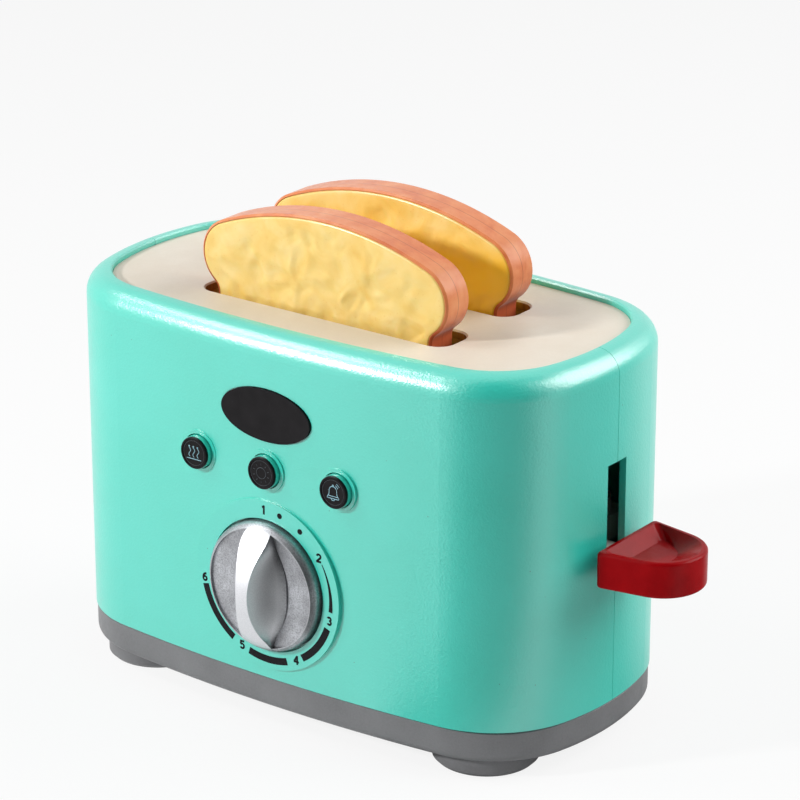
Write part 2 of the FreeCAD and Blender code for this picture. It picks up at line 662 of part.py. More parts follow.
def deck_panel():
    """The top panel: a plate inside the rim, a flange under it, two slots and two rod sockets."""
    body = new_body("deck_panel")
    top, bottom = "shell_top - deck_drop", "shell_top - deck_drop - deck_thickness"
    sketch = sketch_on(body, "XY_Plane", bottom)
    housing_outline(sketch, "rim_inset + deck_clearance")
    pad(body, sketch, "deck_thickness")
    sketch = sketch_on(body, "XY_Plane", bottom)
    housing_outline(sketch, "deck_flange_inset")
    pad(body, sketch, f"shell_top - wall - ({bottom})")
    for side in (-1, 1):
        sketch = sketch_on(body, "XY_Plane", bottom)
        circle(sketch, "rod_x", f"{side} * rod_y", "rod_post_radius")
        pad(body, sketch, f"{bottom} - rod_socket_bottom", reverse=True)
        sketch = sketch_on(body, "XY_Plane", "rod_socket_bottom")
        circle(sketch, "rod_x", f"{side} * rod_y", "rod_bore_radius")
        pocket(body, sketch, "rod_top - rod_socket_bottom + 0.2", reverse=True)
        sketch = sketch_on(body, "XY_Plane", top)
        rounded_slot(sketch, "0", f"{side} * slice_spacing / 2", "slot_length", "slot_width", "slot_corner")
        pocket(body, sketch, "deck_thickness + 1")
        for end in (-1, 1):
            sketch = sketch_on(body, "XY_Plane", bottom)
            circle(sketch, f"{end} * ({EAR_X})", f"{side} * slice_spacing / 2", "small_screw_radius")
            pocket(body, sketch, "ear_screw_depth", reverse=True)
    reach_x, reach_y = size("slot_length / 2") + 0.1, size("slice_spacing")
    around_slots = level_at(size(top), inside=lambda c: abs(c.x) < reach_x and abs(c.y) < reach_y)
    soften(body, around_slots, "edge_bevel", "Chamfer")
    return body


def toast_well(label, side):
    """The liner under one slot: a deep box with a gate in its end for the rack, and two screw ears."""
    body = new_body(label)
    top = "shell_top - deck_drop - deck_thickness"
    y = f"{side} * slice_spacing / 2"
    inside_x, inside_y = "slot_length / 2 + well_gap", "slot_width / 2 + well_gap"
    sketch = sketch_on(body, "XY_Plane", "well_bottom")
    outer = f"2 * ({inside_x} + well_wall)", f"2 * ({inside_y} + well_wall)"
    rounded_slot(sketch, "0", y, *outer, "slot_corner + well_wall")
    pad(body, sketch, f"{top} - well_bottom")
    sketch = sketch_on(body, "XY_Plane", f"{top} - ear_thickness")
    reach = f"{inside_x} + well_wall + ear_length"
    rectangle(sketch, f"-({reach})", f"{y} - ear_width / 2", reach, f"{y} + ear_width / 2")
    pad(body, sketch, "ear_thickness")
    sketch = sketch_on(body, "XY_Plane", top)
    rounded_slot(sketch, "0", y, f"2 * ({inside_x})", f"2 * ({inside_y})", "slot_corner")
    pocket(body, sketch, f"{top} - well_floor")
    sketch = sketch_on(body, "YZ_Plane", f"{inside_x} + well_wall + 1")
    rectangle(sketch, f"{y} - gate_width / 2", "well_floor", f"{y} + gate_width / 2", "gate_top")
    pocket(body, sketch, "well_wall + 3")
    for end in (-1, 1):
        sketch = sketch_on(body, "XY_Plane", top)
        circle(sketch, f"{end} * ({EAR_X})", y, "small_screw_radius")
        pocket(body, sketch, "ear_thickness + 1")
    return body


def base_tray():
    """The tray: rounded lower edge, lip inside the shells, foot seats, rod posts and spring peg."""
    body = new_body("base_tray")
    sketch = sketch_on(body, "XY_Plane", "tray_bottom")
    housing_outline(sketch, "tray_inset")
    pad(body, sketch, "tray_top - tray_bottom")
    soften(body, level_at(size("tray_bottom")), "tray_round")
    soften(body, level_at(size("tray_top")), "tray_bevel", "Chamfer")
    sketch = sketch_on(body, "XY_Plane", "tray_top")
    housing_outline(sketch, "lip_inset")
    pad(body, sketch, "lip_top - tray_top")
    sketch = sketch_on(body, "XY_Plane", "lip_top")
    housing_outline(sketch, "tray_inside_inset")
    pocket(body, sketch, "lip_top - tray_floor_top")
    for sx, sy in FEET.values():
        sketch = sketch_on(body, "XY_Plane", "tray_bottom")
        circle(sketch, f"{sx} * foot_x", f"{sy} * foot_y", "foot_radius")
        pad(body, sketch, "tray_floor_top - tray_bottom")
    for side in (-1, 1):
        sketch = sketch_on(body, "XY_Plane", "tray_floor_top - 0.4")
        circle(sketch, "rod_x", f"{side} * rod_y", "rod_post_radius")
        pad(body, sketch, "rod_post_top - tray_floor_top + 0.4")
        sketch = sketch_on(body, "XY_Plane", "rod_post_top")
        circle(sketch, "rod_x", f"{side} * rod_y", "rod_bore_radius")
        pocket(body, sketch, "rod_post_top - rod_bottom")
    sketch = sketch_on(body, "XY_Plane", "tray_floor_top - 0.4")
    circle(sketch, "spring_x", "0", "spring_peg_radius")
    pad(body, sketch, "spring_peg_height + 0.4")
    for sx, sy in FEET.values():
        sketch = sketch_on(body, "XY_Plane", "tray_floor_top")
        circle(sketch, f"{sx} * foot_x", f"{sy} * foot_y", "foot_spigot_radius")
        pocket(body, sketch, "tray_floor_top - tray_bottom + 1")
    return body


def foot(label, sx, sy):
    """A round foot with a spigot in the tray and a counterbored screw hole."""
    body = new_body(label)
    sketch = sketch_on(body, "XY_Plane")
    circle(sketch, "0", "0", "foot_radius")
    pad(body, sketch, "tray_bottom")
    soften(body, level_at(0.0), "foot_bevel", "Chamfer")
    sketch = sketch_on(body, "XY_Plane", "tray_bottom")
    circle(sketch, "0", "0", "foot_spigot_radius")
    pad(body, sketch, "tray_floor_top - tray_bottom")
    sketch = sketch_on(body, "XY_Plane", "tray_floor_top")
    circle(sketch, "0", "0", "foot_bore_radius")
    pocket(body, sketch, "tray_floor_top + 1")
    sketch = sketch_on(body, "XY_Plane", "foot_sink_depth")
    circle(sketch, "0", "0", "foot_sink_radius")
    pocket(body, sketch, "foot_sink_depth + 1")
    bind(body, "Placement.Base.x", f"{sx} * foot_x")
    bind(body, "Placement.Base.y", f"{sy} * foot_y")
    return body


def label_plate():
    """The thin oval plate above the buttons."""
    body = new_body("label_plate")
    sketch = sketch_on(body, "XZ_Plane", "body_depth / 2 - label_recess")
    ellipse(sketch, "0", "label_z", "label_length / 2", "label_height / 2")
    pad(body, sketch, "label_thickness")
    return body


# ---------------------------------------------------------------- dial


def outward(body, x, distance, z):
    """Place a body modelled along its own +Z so that +Z points out of the front."""
    bind(body, "Placement.Base.x", x)
    bind(body, "Placement.Base.y", f"-({distance})")
    bind(body, "Placement.Base.z", z)
    body.Placement = Placement(body.Placement.Base, Rotation(Vector(1, 0, 0), 90))
    bind(body, "Placement.Base.x", x)


def grip_section(sketch, height):
    """Section of what is cut away beside the grip bar, at a height above the dial's centre."""
    end = f"min(1; abs({height}) / grip_end)"
    top_x = f"grip_half_width + grip_flare * {end} ^ 2"
    foot_x = f"grip_foot - grip_foot_taper * {end} ^ 2"
    crown = "knob_height - knob_crown_radius"
    top_z = f"{crown} + sqrt(knob_crown_radius ^ 2 - ({end} * grip_end) ^ 2)"
    outside, above = "knob_base_radius + 2", "knob_height + 3"
    floor = "dish_height"
    lip = f"{floor} + flank_step * (1 - 0.8 * {end})"
    corners = [(foot_x, lip), (foot_x, floor), (outside, floor), (outside, above), (top_x, above)]
    corners.append((top_x, top_z))
    points = [Vector(size(x), size(z), 0) for x, z in corners]
    foot, top = points[0], points[-1]
    chord = top - foot
    normal = Vector(-chord.y, chord.x, 0).normalize()
    if normal.x > 0:
        normal = normal * -1
    hollow = size(f"flank_hollow * (1 - 0.8 * {end})")
    radius = (chord.Length**2 / 4 + hollow**2) / (2 * hollow)
    centre = foot + chord * 0.5 - normal * (radius - hollow)
    turns = [math.atan2(point.y - centre.y, point.x - centre.x) for point in (top, foot)]
    flank = arc((centre.x, centre.y), radius, *turns)
    first = sketch.GeometryCount
    for index in range(5):
        sketch.addGeometry(Part.LineSegment(points[index], points[index + 1]), False)
    sketch.addGeometry(flank, False)
    start, end_point = (1, 2) if flank.StartPoint.distanceToPoint(top) < 1e-6 else (2, 1)
    for index in range(4):
        sketch.addConstraint(Sketcher.Constraint("Coincident", first + index, 2, first + index + 1, 1))
    sketch.addConstraint(Sketcher.Constraint("Coincident", first + 4, 2, first + 5, start))
    sketch.addConstraint(Sketcher.Constraint("Coincident", first + 5, end_point, first, 1))
    for index, (x, z) in enumerate(corners[:5]):
        place(sketch, first + index, 1, x, z)
    place(sketch, first + 5, start, *corners[5])
    sketch.addConstraint(Sketcher.Constraint("Radius", first + 5, radius))


def scoop_rim(sketch):
    """Profile of the narrow rim that stands round the scoops and falls away with the crown."""
    crown_z = size("knob_height - knob_crown_radius")
    radius = size("knob_crown_radius - knob_rim_sink")
    inner, outer = size("dish_radius"), size("knob_rim_radius - 0.6")
    top, floor = size("knob_rim_height"), size("dish_height - 0.5")
    land = math.sqrt(radius**2 - (top - crown_z) ** 2)
    foot = crown_z + math.sqrt(radius**2 - outer**2)
    turns = (math.atan2(foot - crown_z, outer), math.atan2(top - crown_z, land))
    profile = [
        Part.LineSegment(Vector(inner, floor, 0), Vector(inner, top, 0)),
        Part.LineSegment(Vector(inner, top, 0), Vector(land, top, 0)),
        arc((0, crown_z), radius, *turns),
        Part.LineSegment(Vector(outer, foot, 0), Vector(inner, floor, 0)),
    ]
    first = join(sketch, profile, straight_joints=(0, 1, 2, 3))
    place(sketch, first, 1, "dish_radius", "dish_height - 0.5")
    place(sketch, first, 2, "dish_radius", "knob_rim_height")
    fix(sketch, "DistanceY", -1, 1, first + 1, 2, to="knob_rim_height")
    place(sketch, first + 2, 3, "0", "knob_height - knob_crown_radius")
    fix(sketch, "Radius", first + 2, to="knob_crown_radius - knob_rim_sink")
    fix(sketch, "DistanceX", -1, 1, first + 3, 1, to="knob_rim_radius - 0.6")


def knob():
    """The dial knob: a crowned disc with two finger scoops that leave an arched grip bar."""
    body = new_body("knob")
    sketch = sketch_on(body, "XZ_Plane")
    crown_z = size("knob_height - knob_crown_radius")
    rim, base = size("knob_rim_radius"), size("knob_base_radius")
    crown, back, apex = size("knob_crown_radius"), size("knob_back"), size("knob_height")
    shoulder = crown_z + math.sqrt(crown**2 - rim**2)
    dome = arc((0, crown_z), crown, math.atan2(shoulder - crown_z, rim), math.pi / 2)
    profile = [
        Part.LineSegment(Vector(0, apex, 0), Vector(0, back, 0)),
        Part.LineSegment(Vector(0, back, 0), Vector(base, back, 0)),
        Part.LineSegment(Vector(base, back, 0), Vector(rim, shoulder, 0)),
        dome,
    ]
    first = join(sketch, profile, straight_joints=(0, 1, 2, 3))
    place(sketch, first, 2, "0", "knob_back")
    place(sketch, first, 1, "0", "knob_height")
    place(sketch, first + 1, 2, "knob_base_radius", "knob_back")
    fix(sketch, "DistanceX", -1, 1, first + 2, 2, to="knob_rim_radius")
    place(sketch, first + 3, 3, "0", "knob_height - knob_crown_radius")
    revolve(body, sketch, "V_Axis")
    soften(body, level_at(shoulder), "knob_rim_round")
    near = ["grip_end / 2", "grip_end", "knob_base_radius + 1"]
    stations = [f"-({reach})" for reach in reversed(near)] + ["0"] + near
    sections = []
    for station in stations:
        sketch = sketch_on(body, "XZ_Plane", f"-({station})")
        grip_section(sketch, station)
        sections.append(sketch)
    scoop = body.newObject("PartDesign::SubtractiveLoft", "knob_scoop")
    scoop.Profile = sections[0]
    scoop.Sections = sections[1:]
    doc.recompute()
    mirrored(body, [scoop], "YZ_Plane")
    sketch = sketch_on(body, "XZ_Plane")
    scoop_rim(sketch)
    revolve(body, sketch, "V_Axis")
    sketch = sketch_on(body, "XY_Plane", "knob_back")
    circle(sketch, "0", "0", "shaft_radius")
    pocket(body, sketch, "shaft_socket_depth", reverse=True)
    outward(body, "0", "body_depth / 2", "dial_z")
    return body


def pin(label, radius, bottom, top, x, y, z, along=Vector(0, 0, 1)):
    """A plain round pin from one place to another along an axis through x, y, z."""
    shape = doc.addObject("Part::Cylinder", label)
    bind(shape, "Radius", radius)
    bind(shape, "Height", f"({top}) - ({bottom})")
    shape.Placement = Placement(Vector(), Rotation(Vector(0, 0, 1), along))
    bind(shape, "Placement.Base.x", f"{x} + {int(along.x)} * ({bottom})")
    bind(shape, "Placement.Base.y", f"{y} + {int(along.y)} * ({bottom})")
    bind(shape, "Placement.Base.z", f"{z} + {int(along.z)} * ({bottom})")
    return shape


def joined(label, shapes, kind="Part::MultiFuse"):
    """One sub-part made of several shapes: fused, or grouped as separate solids."""
    group = doc.addObject(kind, label)
    group.Label = label
    if kind == "Part::Compound":
        group.Links = shapes
    else:
        group.Shapes = shapes
    parts.append(group)
    return group


def screws(label, places, along, radius, head, head_height, length):
    """Identical screws: the underside of each head lies at its place."""
    solids = []
    for number, (x, y, z) in enumerate(places):
        shank = pin(f"{label}_shank_{number}", radius, f"-{head_height} / 2", length, x, y, z, along)
        cap = pin(f"{label}_head_{number}", head, f"-({head_height})", "0", x, y, z, along)
        screw = doc.addObject("Part::MultiFuse", f"{label}_{number}")
        screw.Shapes = [cap, shank]
        solids.append(screw)
    return joined(label, solids, "Part::Compound")


OUT, UP = Vector(0, -1, 0), Vector(0, 0, 1)


def dial_shaft():
    """The shaft from the knob through the clockwork to the snail cam."""
    shaft = pin(
        "dial_shaft",
        "shaft_radius",
        "cam_front - cam_thickness",
        "body_depth / 2 + knob_back + shaft_socket_depth - 0.1",
        "0",
        "0",
        "dial_z",
        OUT,
    )
    parts.append(shaft)


def snail_cam():
    """The spiral cam: its radius falls evenly over the dial's turn, so the latch moves in step."""
    high, low, turn = size("cam_high"), size("cam_low"), math.radians(size("dial_range"))
    down, step = -math.pi / 2, math.radians(8)
    middle = Vector(0, size("dial_z"), 0)

    def rim(angle, radius):
        return middle + Vector(radius * math.cos(angle), radius * math.sin(angle), 0)

    steps = 12
    spiral = [rim(down + turn * n / steps, high - (high - low) * n / steps) for n in range(steps + 1)]
    curve = Part.BSplineCurve()
    curve.interpolate(spiral)
    last, first = down + turn, down + TURN
    drop = last + 2 * step
    rise = first - 3 * step
    edges = [
        curve.toShape(),
        Part.Arc(rim(last, low), rim(last + step, low), rim(drop, low)).toShape(),
        Part.LineSegment(rim(drop, low), rim(rise, high)).toShape(),
        Part.Arc(rim(rise, high), rim((rise + first) / 2, high), rim(first, high)).toShape(),
    ]
    disc = Part.Face(Part.Wire(edges)).extrude(Vector(0, 0, size("cam_thickness")))
    hole = Part.makeCylinder(size("shaft_radius"), 20, middle - Vector(0, 0, 10))
    cam = doc.addObject("Part::Feature", "snail_cam")
    cam.Label = "snail_cam"
    cam.Shape = disc.cut(hole)
    back = Vector(0, -size("cam_front - cam_thickness"), 0)
    cam.Placement = Placement(back, Rotation(Vector(1, 0, 0), 90))
    parts.append(cam)


def timer_case():
    """The closed clockwork unit behind the dial, with its two screw ears and the shaft's bearing."""
    body = new_body("timer_case")
    sketch = sketch_on(body, "XZ_Plane", "timer_back")
    wide = "2 * timer_half_width"
    rounded_slot(sketch, "0", "dial_z", wide, wide, "timer_corner")
    pad(body, sketch, "timer_front - timer_back")
    sketch = sketch_on(body, "XZ_Plane", "timer_front - timer_ear_thickness")
    reach, half = "timer_half_width + timer_ear", "timer_ear_height / 2"
    rectangle(sketch, f"-({reach})", f"dial_z - {half}", reach, f"dial_z + {half}")
    pad(body, sketch, "timer_ear_thickness")
    sketch = sketch_on(body, "XZ_Plane", "timer_front")
    circle(sketch, "0", "dial_z", "timer_bore_radius")
    pocket(body, sketch, "timer_front - timer_back + 1")
    for end in (-1, 1):
        sketch = sketch_on(body, "XZ_Plane", "timer_front")
        circle(sketch, f"{end} * timer_screw_x", "dial_z", "small_screw_radius")
        pocket(body, sketch, "timer_ear_thickness + 1")


def latch_lever():
    """The bell crank: a long arm with a round nose under the cam, and a hook that holds the yoke down."""
    body = new_body("latch_lever")
    back = "cam_front - cam_thickness"
    nose_z = "dial_z - cam_high - follower_gap - follower_radius"
    half, low_z = "latch_arm_width / 2", f"{nose_z} - follower_radius - 1"
    sketch = sketch_on(body, "XZ_Plane", back)
    polygon(
        sketch,
        [
            ("-follower_radius", f"{low_z} - 1"),
            (f"latch_x - {half}", f"latch_z - {half} - 1"),
            ("latch_x", f"latch_z + {half}"),
            ("follower_radius + 2", low_z),
            ("follower_radius", nose_z),
            ("-follower_radius", nose_z),
        ],
    )
    pad(body, sketch, "cam_thickness")
    sketch = sketch_on(body, "XZ_Plane", back)
    circle(sketch, "0", nose_z, "follower_radius")
    pad(body, sketch, "cam_thickness")
    sketch = sketch_on(body, "XZ_Plane", back)
    polygon(
        sketch,
        [
            (f"latch_x - {half}", "latch_z"),
            (f"latch_x + {half}", "latch_z"),
            (f"latch_x + {half} + 1", "hook_bottom"),
            ("hook_reach", "hook_bottom"),
            ("hook_reach - 0.6", "hook_bottom + hook_height / 2"),
            (f"latch_x + {half} + 1", "hook_bottom + hook_height"),
            (f"latch_x - {half} + 2", "hook_bottom + hook_height"),
        ],
    )
    pad(body, sketch, "cam_thickness")
    sketch = sketch_on(body, "XZ_Plane", f"{back} - 0.3")
    circle(sketch, "latch_x", "latch_z", "latch_hub_radius")
    pad(body, sketch, "timer_back - 0.3 - (cam_front - cam_thickness - 0.3)")
    sketch = sketch_on(body, "XZ_Plane", "timer_back")
    circle(sketch, "latch_x", "latch_z", "latch_bore_radius")
    pocket(body, sketch, "5")


def latch_pin():
    """The latch's pivot, pressed into its post, with a head that keeps the hub on."""
    face = "cam_front - cam_thickness - 0.6"
    axis = "latch_x", "0", "latch_z", OUT
    shank = pin("latch_pin_shank", "latch_pin_radius", face, "timer_back + latch_pin_grip", *axis)
    head = pin("latch_pin_end", "latch_pin_head", f"{face} - 1", face, *axis)
    joined("latch_pin", [head, shank])


# ---------------------------------------------------------------- buttons


def button_plunger(label, side):
    """A push button: its body in the shell's hole, a flange behind the wall and a stem to the comb."""
    body = new_body(label)
    drop = front_drop(side * size("button_pitch"))
    seat = "-(wall + button_play)"
    sketch = sketch_on(body, "XY_Plane", seat)
    circle(sketch, "0", "0", "button_radius")
    pad(body, sketch, "button_proud - cap_thickness + wall + button_play")
    sketch = sketch_on(body, "XY_Plane", seat)
    circle(sketch, "0", "0", "button_flange_radius")
    pad(body, sketch, "button_flange", reverse=True)
    sketch = sketch_on(body, "XY_Plane", f"stem_end - body_depth / 2 + {drop}")
    circle(sketch, "0", "0", "button_stem_radius")
    pad(body, sketch, f"body_depth / 2 - {drop} - stem_end - wall")
    sketch = sketch_on(body, "XY_Plane", "button_proud - cap_thickness")
    circle(sketch, "0", "0", "cap_pin_radius")
    pocket(body, sketch, "cap_pin_length + 0.1")
    outward(body, f"{side} * button_pitch", f"body_depth / 2 - {drop}", "button_z")


def button_cap(label, side):
    """The black face of a button, with a raised rim and a pin that snaps into the plunger."""
    body = new_body(label)
    drop = front_drop(side * size("button_pitch"))
    base = "button_proud - cap_thickness"
    sketch = sketch_on(body, "XZ_Plane")
    polygon(
        sketch,
        [
            ("0", f"{base} - cap_pin_length"),
            ("cap_pin_radius", f"{base} - cap_pin_length"),
            ("cap_pin_radius", base),
            ("cap_radius", base),
            ("cap_radius", "button_proud - 0.25"),
            ("cap_radius - 0.25", "button_proud"),
            ("cap_radius - cap_rim", "button_proud"),
            ("cap_radius - cap_rim - 0.2", f"{base} + cap_face"),
            ("0", f"{base} + cap_face"),
        ],
    )
    revolve(body, sketch, "V_Axis")
    outward(body, f"{side} * button_pitch", f"body_depth / 2 - {drop}", "button_z")


def button_spring_comb():
    """A stamped spring strip with one tongue behind each button."""
    body = new_body("button_spring_comb")
    sketch = sketch_on(body, "XZ_Plane", "comb_back - comb_thickness")
    half = "comb_height / 2"
    rectangle(sketch, "-comb_half_length", f"button_z - {half}", "comb_half_length", f"button_z + {half}")
    pad(body, sketch, "comb_thickness")
    for side in BUTTONS.values():
        left, right = (f"{side} * button_pitch {sign} tongue_length / 2" for sign in "-+")
        near, far = "tongue_width / 2", "(tongue_width / 2 + tongue_slit)"
        sketch = sketch_on(body, "XZ_Plane", "comb_back")
        polygon(
            sketch,
            [
                (f"{left} - tongue_slit", f"button_z - {far}"),
                (right, f"button_z - {far}"),
                (right, f"button_z - {near}"),
                (left, f"button_z - {near}"),
                (left, f"button_z + {near}"),
                (right, f"button_z + {near}"),
                (right, f"button_z + {far}"),
                (f"{left} - tongue_slit", f"button_z + {far}"),
            ],
        )
        pocket(body, sketch, "comb_thickness + 1")
    for end in (-1, 1):
        sketch = sketch_on(body, "XZ_Plane", "comb_back")
        circle(sketch, f"{end} * comb_screw_x", "button_z", "small_screw_radius")
        pocket(body, sketch, "comb_thickness + 1")


# ---------------------------------------------------------------- carriage


def handle_outline(sketch, side_inset, inner_inset, end_inset="0"):
    """The handle's D: a flat inner edge with round corners, and sides that run into the round end."""
    side, inner = size(side_inset), size(inner_inset)
    corner, end = size("handle_corner"), size("handle_end_radius") - side
    corner_x, corner_y = size("handle_inner") + inner + corner, size("handle_half_width") - side - corner
    end_x = size(f"handle_end - handle_end_radius - ({end_inset})")
    apart = math.hypot(end_x - corner_x, corner_y)
    tilt = math.atan2(-corner_y, end_x - corner_x) + math.acos((corner - end) / apart)
    upper = arc((corner_x, corner_y), corner, tilt, math.pi)
    lower = arc((corner_x, -corner_y), corner, math.pi, TURN - tilt)
    round_end = arc((end_x, 0), end, -tilt, tilt)
    chain = [
        upper,
        Part.LineSegment(upper.EndPoint, lower.StartPoint),
        lower,
        Part.LineSegment(lower.EndPoint, round_end.StartPoint),
        round_end,
        Part.LineSegment(round_end.EndPoint, upper.StartPoint),
    ]
    first = join(sketch, chain)
    centre_x = f"handle_inner + {inner_inset} + handle_corner"
    centre_y = f"(handle_half_width - ({side_inset}) - handle_corner)"
    place(sketch, first, 3, centre_x, centre_y)
    place(sketch, first + 2, 3, centre_x, f"-{centre_y}")
    place(sketch, first + 4, 3, f"handle_end - handle_end_radius - ({end_inset})", "0")
    fix(sketch, "Radius", first, to="handle_corner")
    fix(sketch, "Radius", first + 2, to="handle_corner")
    fix(sketch, "Radius", first + 4, to=f"handle_end_radius - ({side_inset})")


def lever_handle():
    """The D-shaped handle with its dished top and the socket for the carriage's arm."""
    body = new_body("lever_handle")
    sketch = sketch_on(body, "XY_Plane", "handle_bottom")
    handle_outline(sketch, "0", "0")
    pad(body, sketch, "handle_top - handle_bottom")
    bottom, top = level_at(size("handle_bottom")), level_at(size("handle_top"))
    soften(body, lambda edge: bottom(edge) or top(edge), "handle_edge_round")
    brim = sketch_on(body, "XY_Plane", "handle_top")
    handle_outline(brim, "dish_rim", "dish_rim")
    floor = sketch_on(body, "XY_Plane", "handle_top - dish_depth")
    handle_outline(floor, "dish_rim + dish_slope", "dish_rim + dish_inner_slope", "dish_end_slope")
    dish = body.newObject("PartDesign::SubtractiveLoft", "lever_handle_dish")
    dish.Profile = brim
    dish.Sections = [floor]
    dish.Ruled = True
    doc.recompute()
    sketch = sketch_on(body, "YZ_Plane", "handle_inner")
    rectangle(sketch, "-arm_half_width", "arm_bottom", "arm_half_width", "arm_top")
    pocket(body, sketch, "arm_end - handle_inner", reverse=True)


def carriage():
    """The yoke on its two guide sleeves, the racks under the slices and the arm to the handle."""
    body = new_body("carriage")
    sketch = sketch_on(body, "XY_Plane", "yoke_bottom")
    rectangle(sketch, "yoke_inner", "-yoke_half_width", "yoke_outer", "yoke_half_width")
    pad(body, sketch, "yoke_top - yoke_bottom")
    sketch = sketch_on(body, "XY_Plane", "yoke_bottom")
    rectangle(
        sketch,
        "yoke_inner + yoke_wall",
        "-yoke_half_width + yoke_wall",
        "yoke_outer - yoke_wall",
        "yoke_half_width - yoke_wall",
    )
    pocket(body, sketch, "rack_bottom - yoke_bottom", reverse=True)
    for side in (-1, 1):
        middle, half = f"{side} * slice_spacing / 2", "rack_half_width"
        sketch = sketch_on(body, "XY_Plane", "rack_bottom")
        rectangle(sketch, "rack_end", f"{middle} - {half}", "yoke_inner + 1", f"{middle} + {half}")
        pad(body, sketch, "yoke_top - rack_bottom")
        sketch = sketch_on(body, "XY_Plane", "sleeve_bottom")
        circle(sketch, "rod_x", f"{side} * rod_y", "sleeve_radius")
        pad(body, sketch, "sleeve_top - sleeve_bottom")
    sketch = sketch_on(body, "XY_Plane", "arm_bottom")
    rectangle(sketch, "yoke_outer - 1", "-arm_half_width", "arm_end", "arm_half_width")
    pad(body, sketch, "arm_top - arm_bottom")
    sketch = sketch_on(body, "XY_Plane", "rack_bottom + 0.5")
    circle(sketch, "spring_x", "0", "spring_peg_radius")
    pad(body, sketch, "spring_peg_height + 0.5", reverse=True)
    for side in (-1, 1):
        sketch = sketch_on(body, "XY_Plane", "sleeve_top")
        circle(sketch, "rod_x", f"{side} * rod_y", "rod_bore_radius")
        pocket(body, sketch, "sleeve_top - sleeve_bottom + 1")


def guide_rods():
    """The two steel rods that the sleeves run on."""
    rods = [
        pin(f"guide_rod_{side}", "rod_radius", "rod_bottom", "rod_top", "rod_x", f"{side} * rod_y", "0")
        for side in (-1, 1)
    ]
    joined("guide_rods", rods, "Part::Compound")


def return_spring():
    """The coil spring under the yoke, shown compressed."""
    body = new_body("return_spring")
    sketch = sketch_on(body, "XZ_Plane")
    radius, low, half = "spring_radius", "spring_bottom", "spring_wire / 2"
    rectangle(sketch, f"{radius} - {half}", f"{low} - {half}", f"{radius} + {half}", f"{low} + {half}")
    coil = body.newObject("PartDesign::AdditiveHelix", "return_spring_coil")
    coil.Profile = sketch
    coil.ReferenceAxis = (sketch, ["V_Axis"])
    coil.Mode = "height-turns-angle"
    bind(coil, "Height", "spring_top - spring_bottom")
    bind(coil, "Turns", "spring_turns")
    bind(body, "Placement.Base.x", "spring_x")
    doc.recompute()


# ---------------------------------------------------------------- toast


def slice_outline(sketch, inset):
    """A slice of tin loaf: crown, two lobes, necks, straight sides and round lower corners."""
    shift = size(inset)
    crown, lobe = size("crown_radius") - shift, size("lobe_radius") - shift
    neck, corner = size("neck_radius") + shift, size("slice_corner") - shift
    side, bottom = size("waist") - shift, size("slice_bottom") + shift
    crown_z = size("slice_top - crown_radius")
    lobe_x = size("lobe_reach - lobe_radius")
    lobe_z = crown_z + math.sqrt(size("crown_radius - lobe_radius") ** 2 - lobe_x**2)
    neck_x = size("waist + neck_radius")
    neck_z = lobe_z - math.sqrt(size("lobe_radius + neck_radius") ** 2 - (neck_x - lobe_x) ** 2)
    corner_x, corner_z = size("waist - slice_corner"), size("slice_bottom + slice_corner")
    crown_turn = math.atan2(lobe_z - crown_z, lobe_x)
    neck_turn = math.atan2(neck_z - lobe_z, neck_x - lobe_x)
    half = math.pi / 2
    right_corner = arc((corner_x, corner_z), corner, -half, 0)
    right_neck = arc((neck_x, neck_z), neck, math.pi + neck_turn, math.pi)
    right_lobe = arc((lobe_x, lobe_z), lobe, neck_turn, crown_turn)
    top = arc((0, crown_z), crown, crown_turn, math.pi - crown_turn)
    left_lobe = arc((-lobe_x, lobe_z), lobe, math.pi - crown_turn, math.pi - neck_turn)
    left_neck = arc((-neck_x, neck_z), neck, 0, -neck_turn)
    left_corner = arc((-corner_x, corner_z), corner, math.pi, math.pi + half)
    chain = [
        right_corner,
        Part.LineSegment(Vector(side, corner_z, 0), Vector(side, neck_z, 0)),
        right_neck,
        right_lobe,
        top,
        left_lobe,
        left_neck,
        Part.LineSegment(Vector(-side, neck_z, 0), Vector(-side, corner_z, 0)),
        left_corner,
        Part.LineSegment(Vector(-corner_x, bottom, 0), Vector(corner_x, bottom, 0)),
    ]
    first, corner_height = join(sketch, chain), "slice_bottom + slice_corner"
    place(sketch, first + 4, 3, "0", "slice_top - crown_radius")
    fix(sketch, "Radius", first + 4, to=f"crown_radius - ({inset})")
    for sign, corner_at, neck_at, lobe_at in ((1, 0, 2, 3), (-1, 8, 6, 5)):
        place(sketch, first + corner_at, 3, f"{sign} * (waist - slice_corner)", corner_height)
        fix(sketch, "Radius", first + corner_at, to=f"slice_corner - ({inset})")
        fix(sketch, "Radius", first + neck_at, to=f"neck_radius + ({inset})")
        fix(sketch, "Radius", first + lobe_at, to=f"lobe_radius - ({inset})")
        fix(sketch, "DistanceX", -1, 1, first + lobe_at, 3, to=f"{sign} * (lobe_reach - lobe_radius)")


